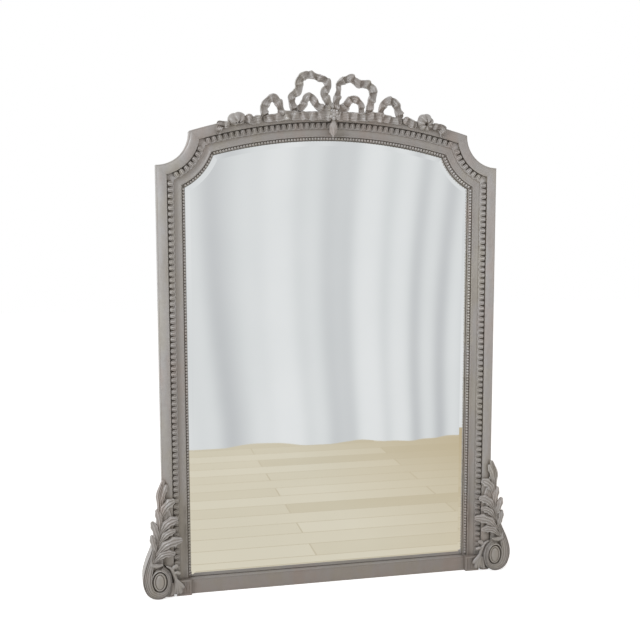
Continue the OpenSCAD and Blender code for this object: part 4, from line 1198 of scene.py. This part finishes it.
def seen_directly(tree):
    """1 for a camera, glossy or transmission ray, and 0 for the others."""
    path = node(tree, "LightPath", {}).outputs
    seen = math_node(tree, "ADD", path["Is Camera Ray"], path["Is Glossy Ray"])
    return math_node(tree, "ADD", seen, path["Is Transmission Ray"])


def pale_floor():
    mat, tree, bsdf = shader("floor_pale")
    tone = ramp(tree, noise(tree, 1.3, 3.0, 0.5), greys(0.3, 0.7, 0.88, 0.90))
    feed_all(bsdf, {
        "Base Color": tone,
        "Roughness": 0.9,
        "Specular IOR Level": 0.1,
        "Emission Color": (1, 1, 1),
        "Emission Strength": times(tree, seen_directly(tree), 0.62),
    })
    return mat


def glowing(name, colour_of):
    """A sheet that glows with its own colour, with any light and shade painted into it, though it is no
    lamp; it puts no light on the object.
    """
    mat = bpy.data.materials.new(name)
    mat.use_nodes = True
    tree = mat.node_tree
    tree.nodes.clear()
    emission = node(tree, "Emission", {"Color": colour_of(tree)})
    node(tree, "OutputMaterial", {"Surface": emission.outputs[0]})
    return mat


def drape_colour(tree):
    """White cloth with its folds shaded as by one window."""
    facing = dot(tree, node(tree, "NewGeometry", {}).outputs["Normal"], (-0.62, 0.78, 0.05))
    lit = ramp(tree, facing,
               [(0.25, (0.50, 0.51, 0.53)), (0.75, (0.735, 0.75, 0.76)), (1.0, (0.84, 0.85, 0.86))])
    return layer(tree, lit, (0.60, 0.61, 0.62), noise(tree, 1.6, 4.0, 0.6, (1, 1, 0.35)), 0.30)


def board_colour(tree):
    """Pale floorboards, browner to the right."""
    brick = node(tree, "TexBrick", {
        "Vector": object_place(tree),
        "Scale": 1.0,
        "Color1": (0.61, 0.545, 0.41),
        "Color2": (0.73, 0.675, 0.55),
        "Mortar": (0.57, 0.50, 0.37),
        "Mortar Size": 0.003,
        "Brick Width": 1.3,
        "Row Height": 0.12,
    })
    patches = noise(tree, 3.0, 4.0, 0.6, (0.3, 2, 1))
    pale = layer(tree, brick.outputs["Color"], (0.74, 0.70, 0.58), patches, 0.35)
    rightward = spread(tree, object_axes(tree)["X"], 0.2, 1.4, 0.0, 0.95)
    return mix(tree, rightward, pale, (0.55, 0.45, 0.29))


FLOOR_HALF = 9
stage_sheet("floor", *rectangle(FLOOR_HALF, -FLOOR_HALF, FLOOR_HALF, 0), pale_floor())

# The drape hangs in long and short waves: (radians to a metre, phase, depth in metres)
DRAPE_Y = -1.84
DRAPE_HALF = 4
DRAPE_H = 3.2
COLUMNS = 900
ROWS = 24
fold_draw = random.Random(3)
waves = []
for count, slow, quick, shallow, deep in ((7, 3, 15, 0.008, 0.022), (6, 18, 45, 0.0015, 0.004)):
    for _ in range(count):
        frequency = fold_draw.uniform(slow, quick)
        phase = fold_draw.uniform(0, 6.3)
        waves.append((frequency, phase, fold_draw.uniform(shallow, deep)))
verts, faces = [], []
for j in range(ROWS + 1):
    z = DRAPE_H * j / ROWS
    for i in range(COLUMNS + 1):
        x = -DRAPE_HALF + 2 * DRAPE_HALF * i / COLUMNS
        sway = 0.10 * math.sin(1.3 * z + x)
        fold = sum(depth * math.sin(frequency * (x + sway) + phase) for frequency, phase, depth in waves)
        verts.append((x, DRAPE_Y + fold * (0.6 + 0.4 * (1 - z / DRAPE_H)), z))
for j in range(ROWS):
    for i in range(COLUMNS):
        corner = j * (COLUMNS + 1) + i
        faces.append((corner, corner + COLUMNS + 1, corner + COLUMNS + 2, corner + 1))
glass_card("drape", verts, faces, glowing("drape_white", drape_colour))

BOARDS_FAR = DRAPE_Y - 0.2
BOARDS_NEAR = -0.09
BOARDS_Z = 0.002
board_sheet = rectangle(DRAPE_HALF, BOARDS_FAR, BOARDS_NEAR, BOARDS_Z)
glass_card("boards", *board_sheet, glowing("boards_pale", board_colour))


# Light: a white room that lights the object softly, a window and a fill


studio = bpy.data.worlds.new("studio")
studio.use_nodes = True
bpy.context.scene.world = studio
seen = seen_directly(studio.node_tree)
feed_all(studio.node_tree.nodes["Background"], {
    "Color": mix(studio.node_tree, seen, (1.0, 0.955, 0.91), (1.0, 1.0, 1.0)),
    "Strength": spread(studio.node_tree, seen, 0.0, 1.0, 0.50, 1.0),
})


def lamp(name, place, target, size, power, colour):
    data = bpy.data.lights.new(name, "AREA")
    data.color = colour
    data.shape = "SQUARE"
    data.size = size
    data.energy = power
    obj = add_object(name, data)
    obj.location = place
    obj.rotation_euler = (Vector(target) - Vector(place)).to_track_quat("-Z", "Y").to_euler()


lamp("window", (-3.2, -2.0, 2.9), (0, 0, 1.0), size=1.2, power=78, colour=(0.90, 0.95, 1.0))
lamp("room", (3.1, -2.0, 1.2), (0, 0, 0.7), size=2.2, power=18, colour=(1.0, 0.98, 0.96))

bpy.context.scene.view_settings.view_transform = "Standard"
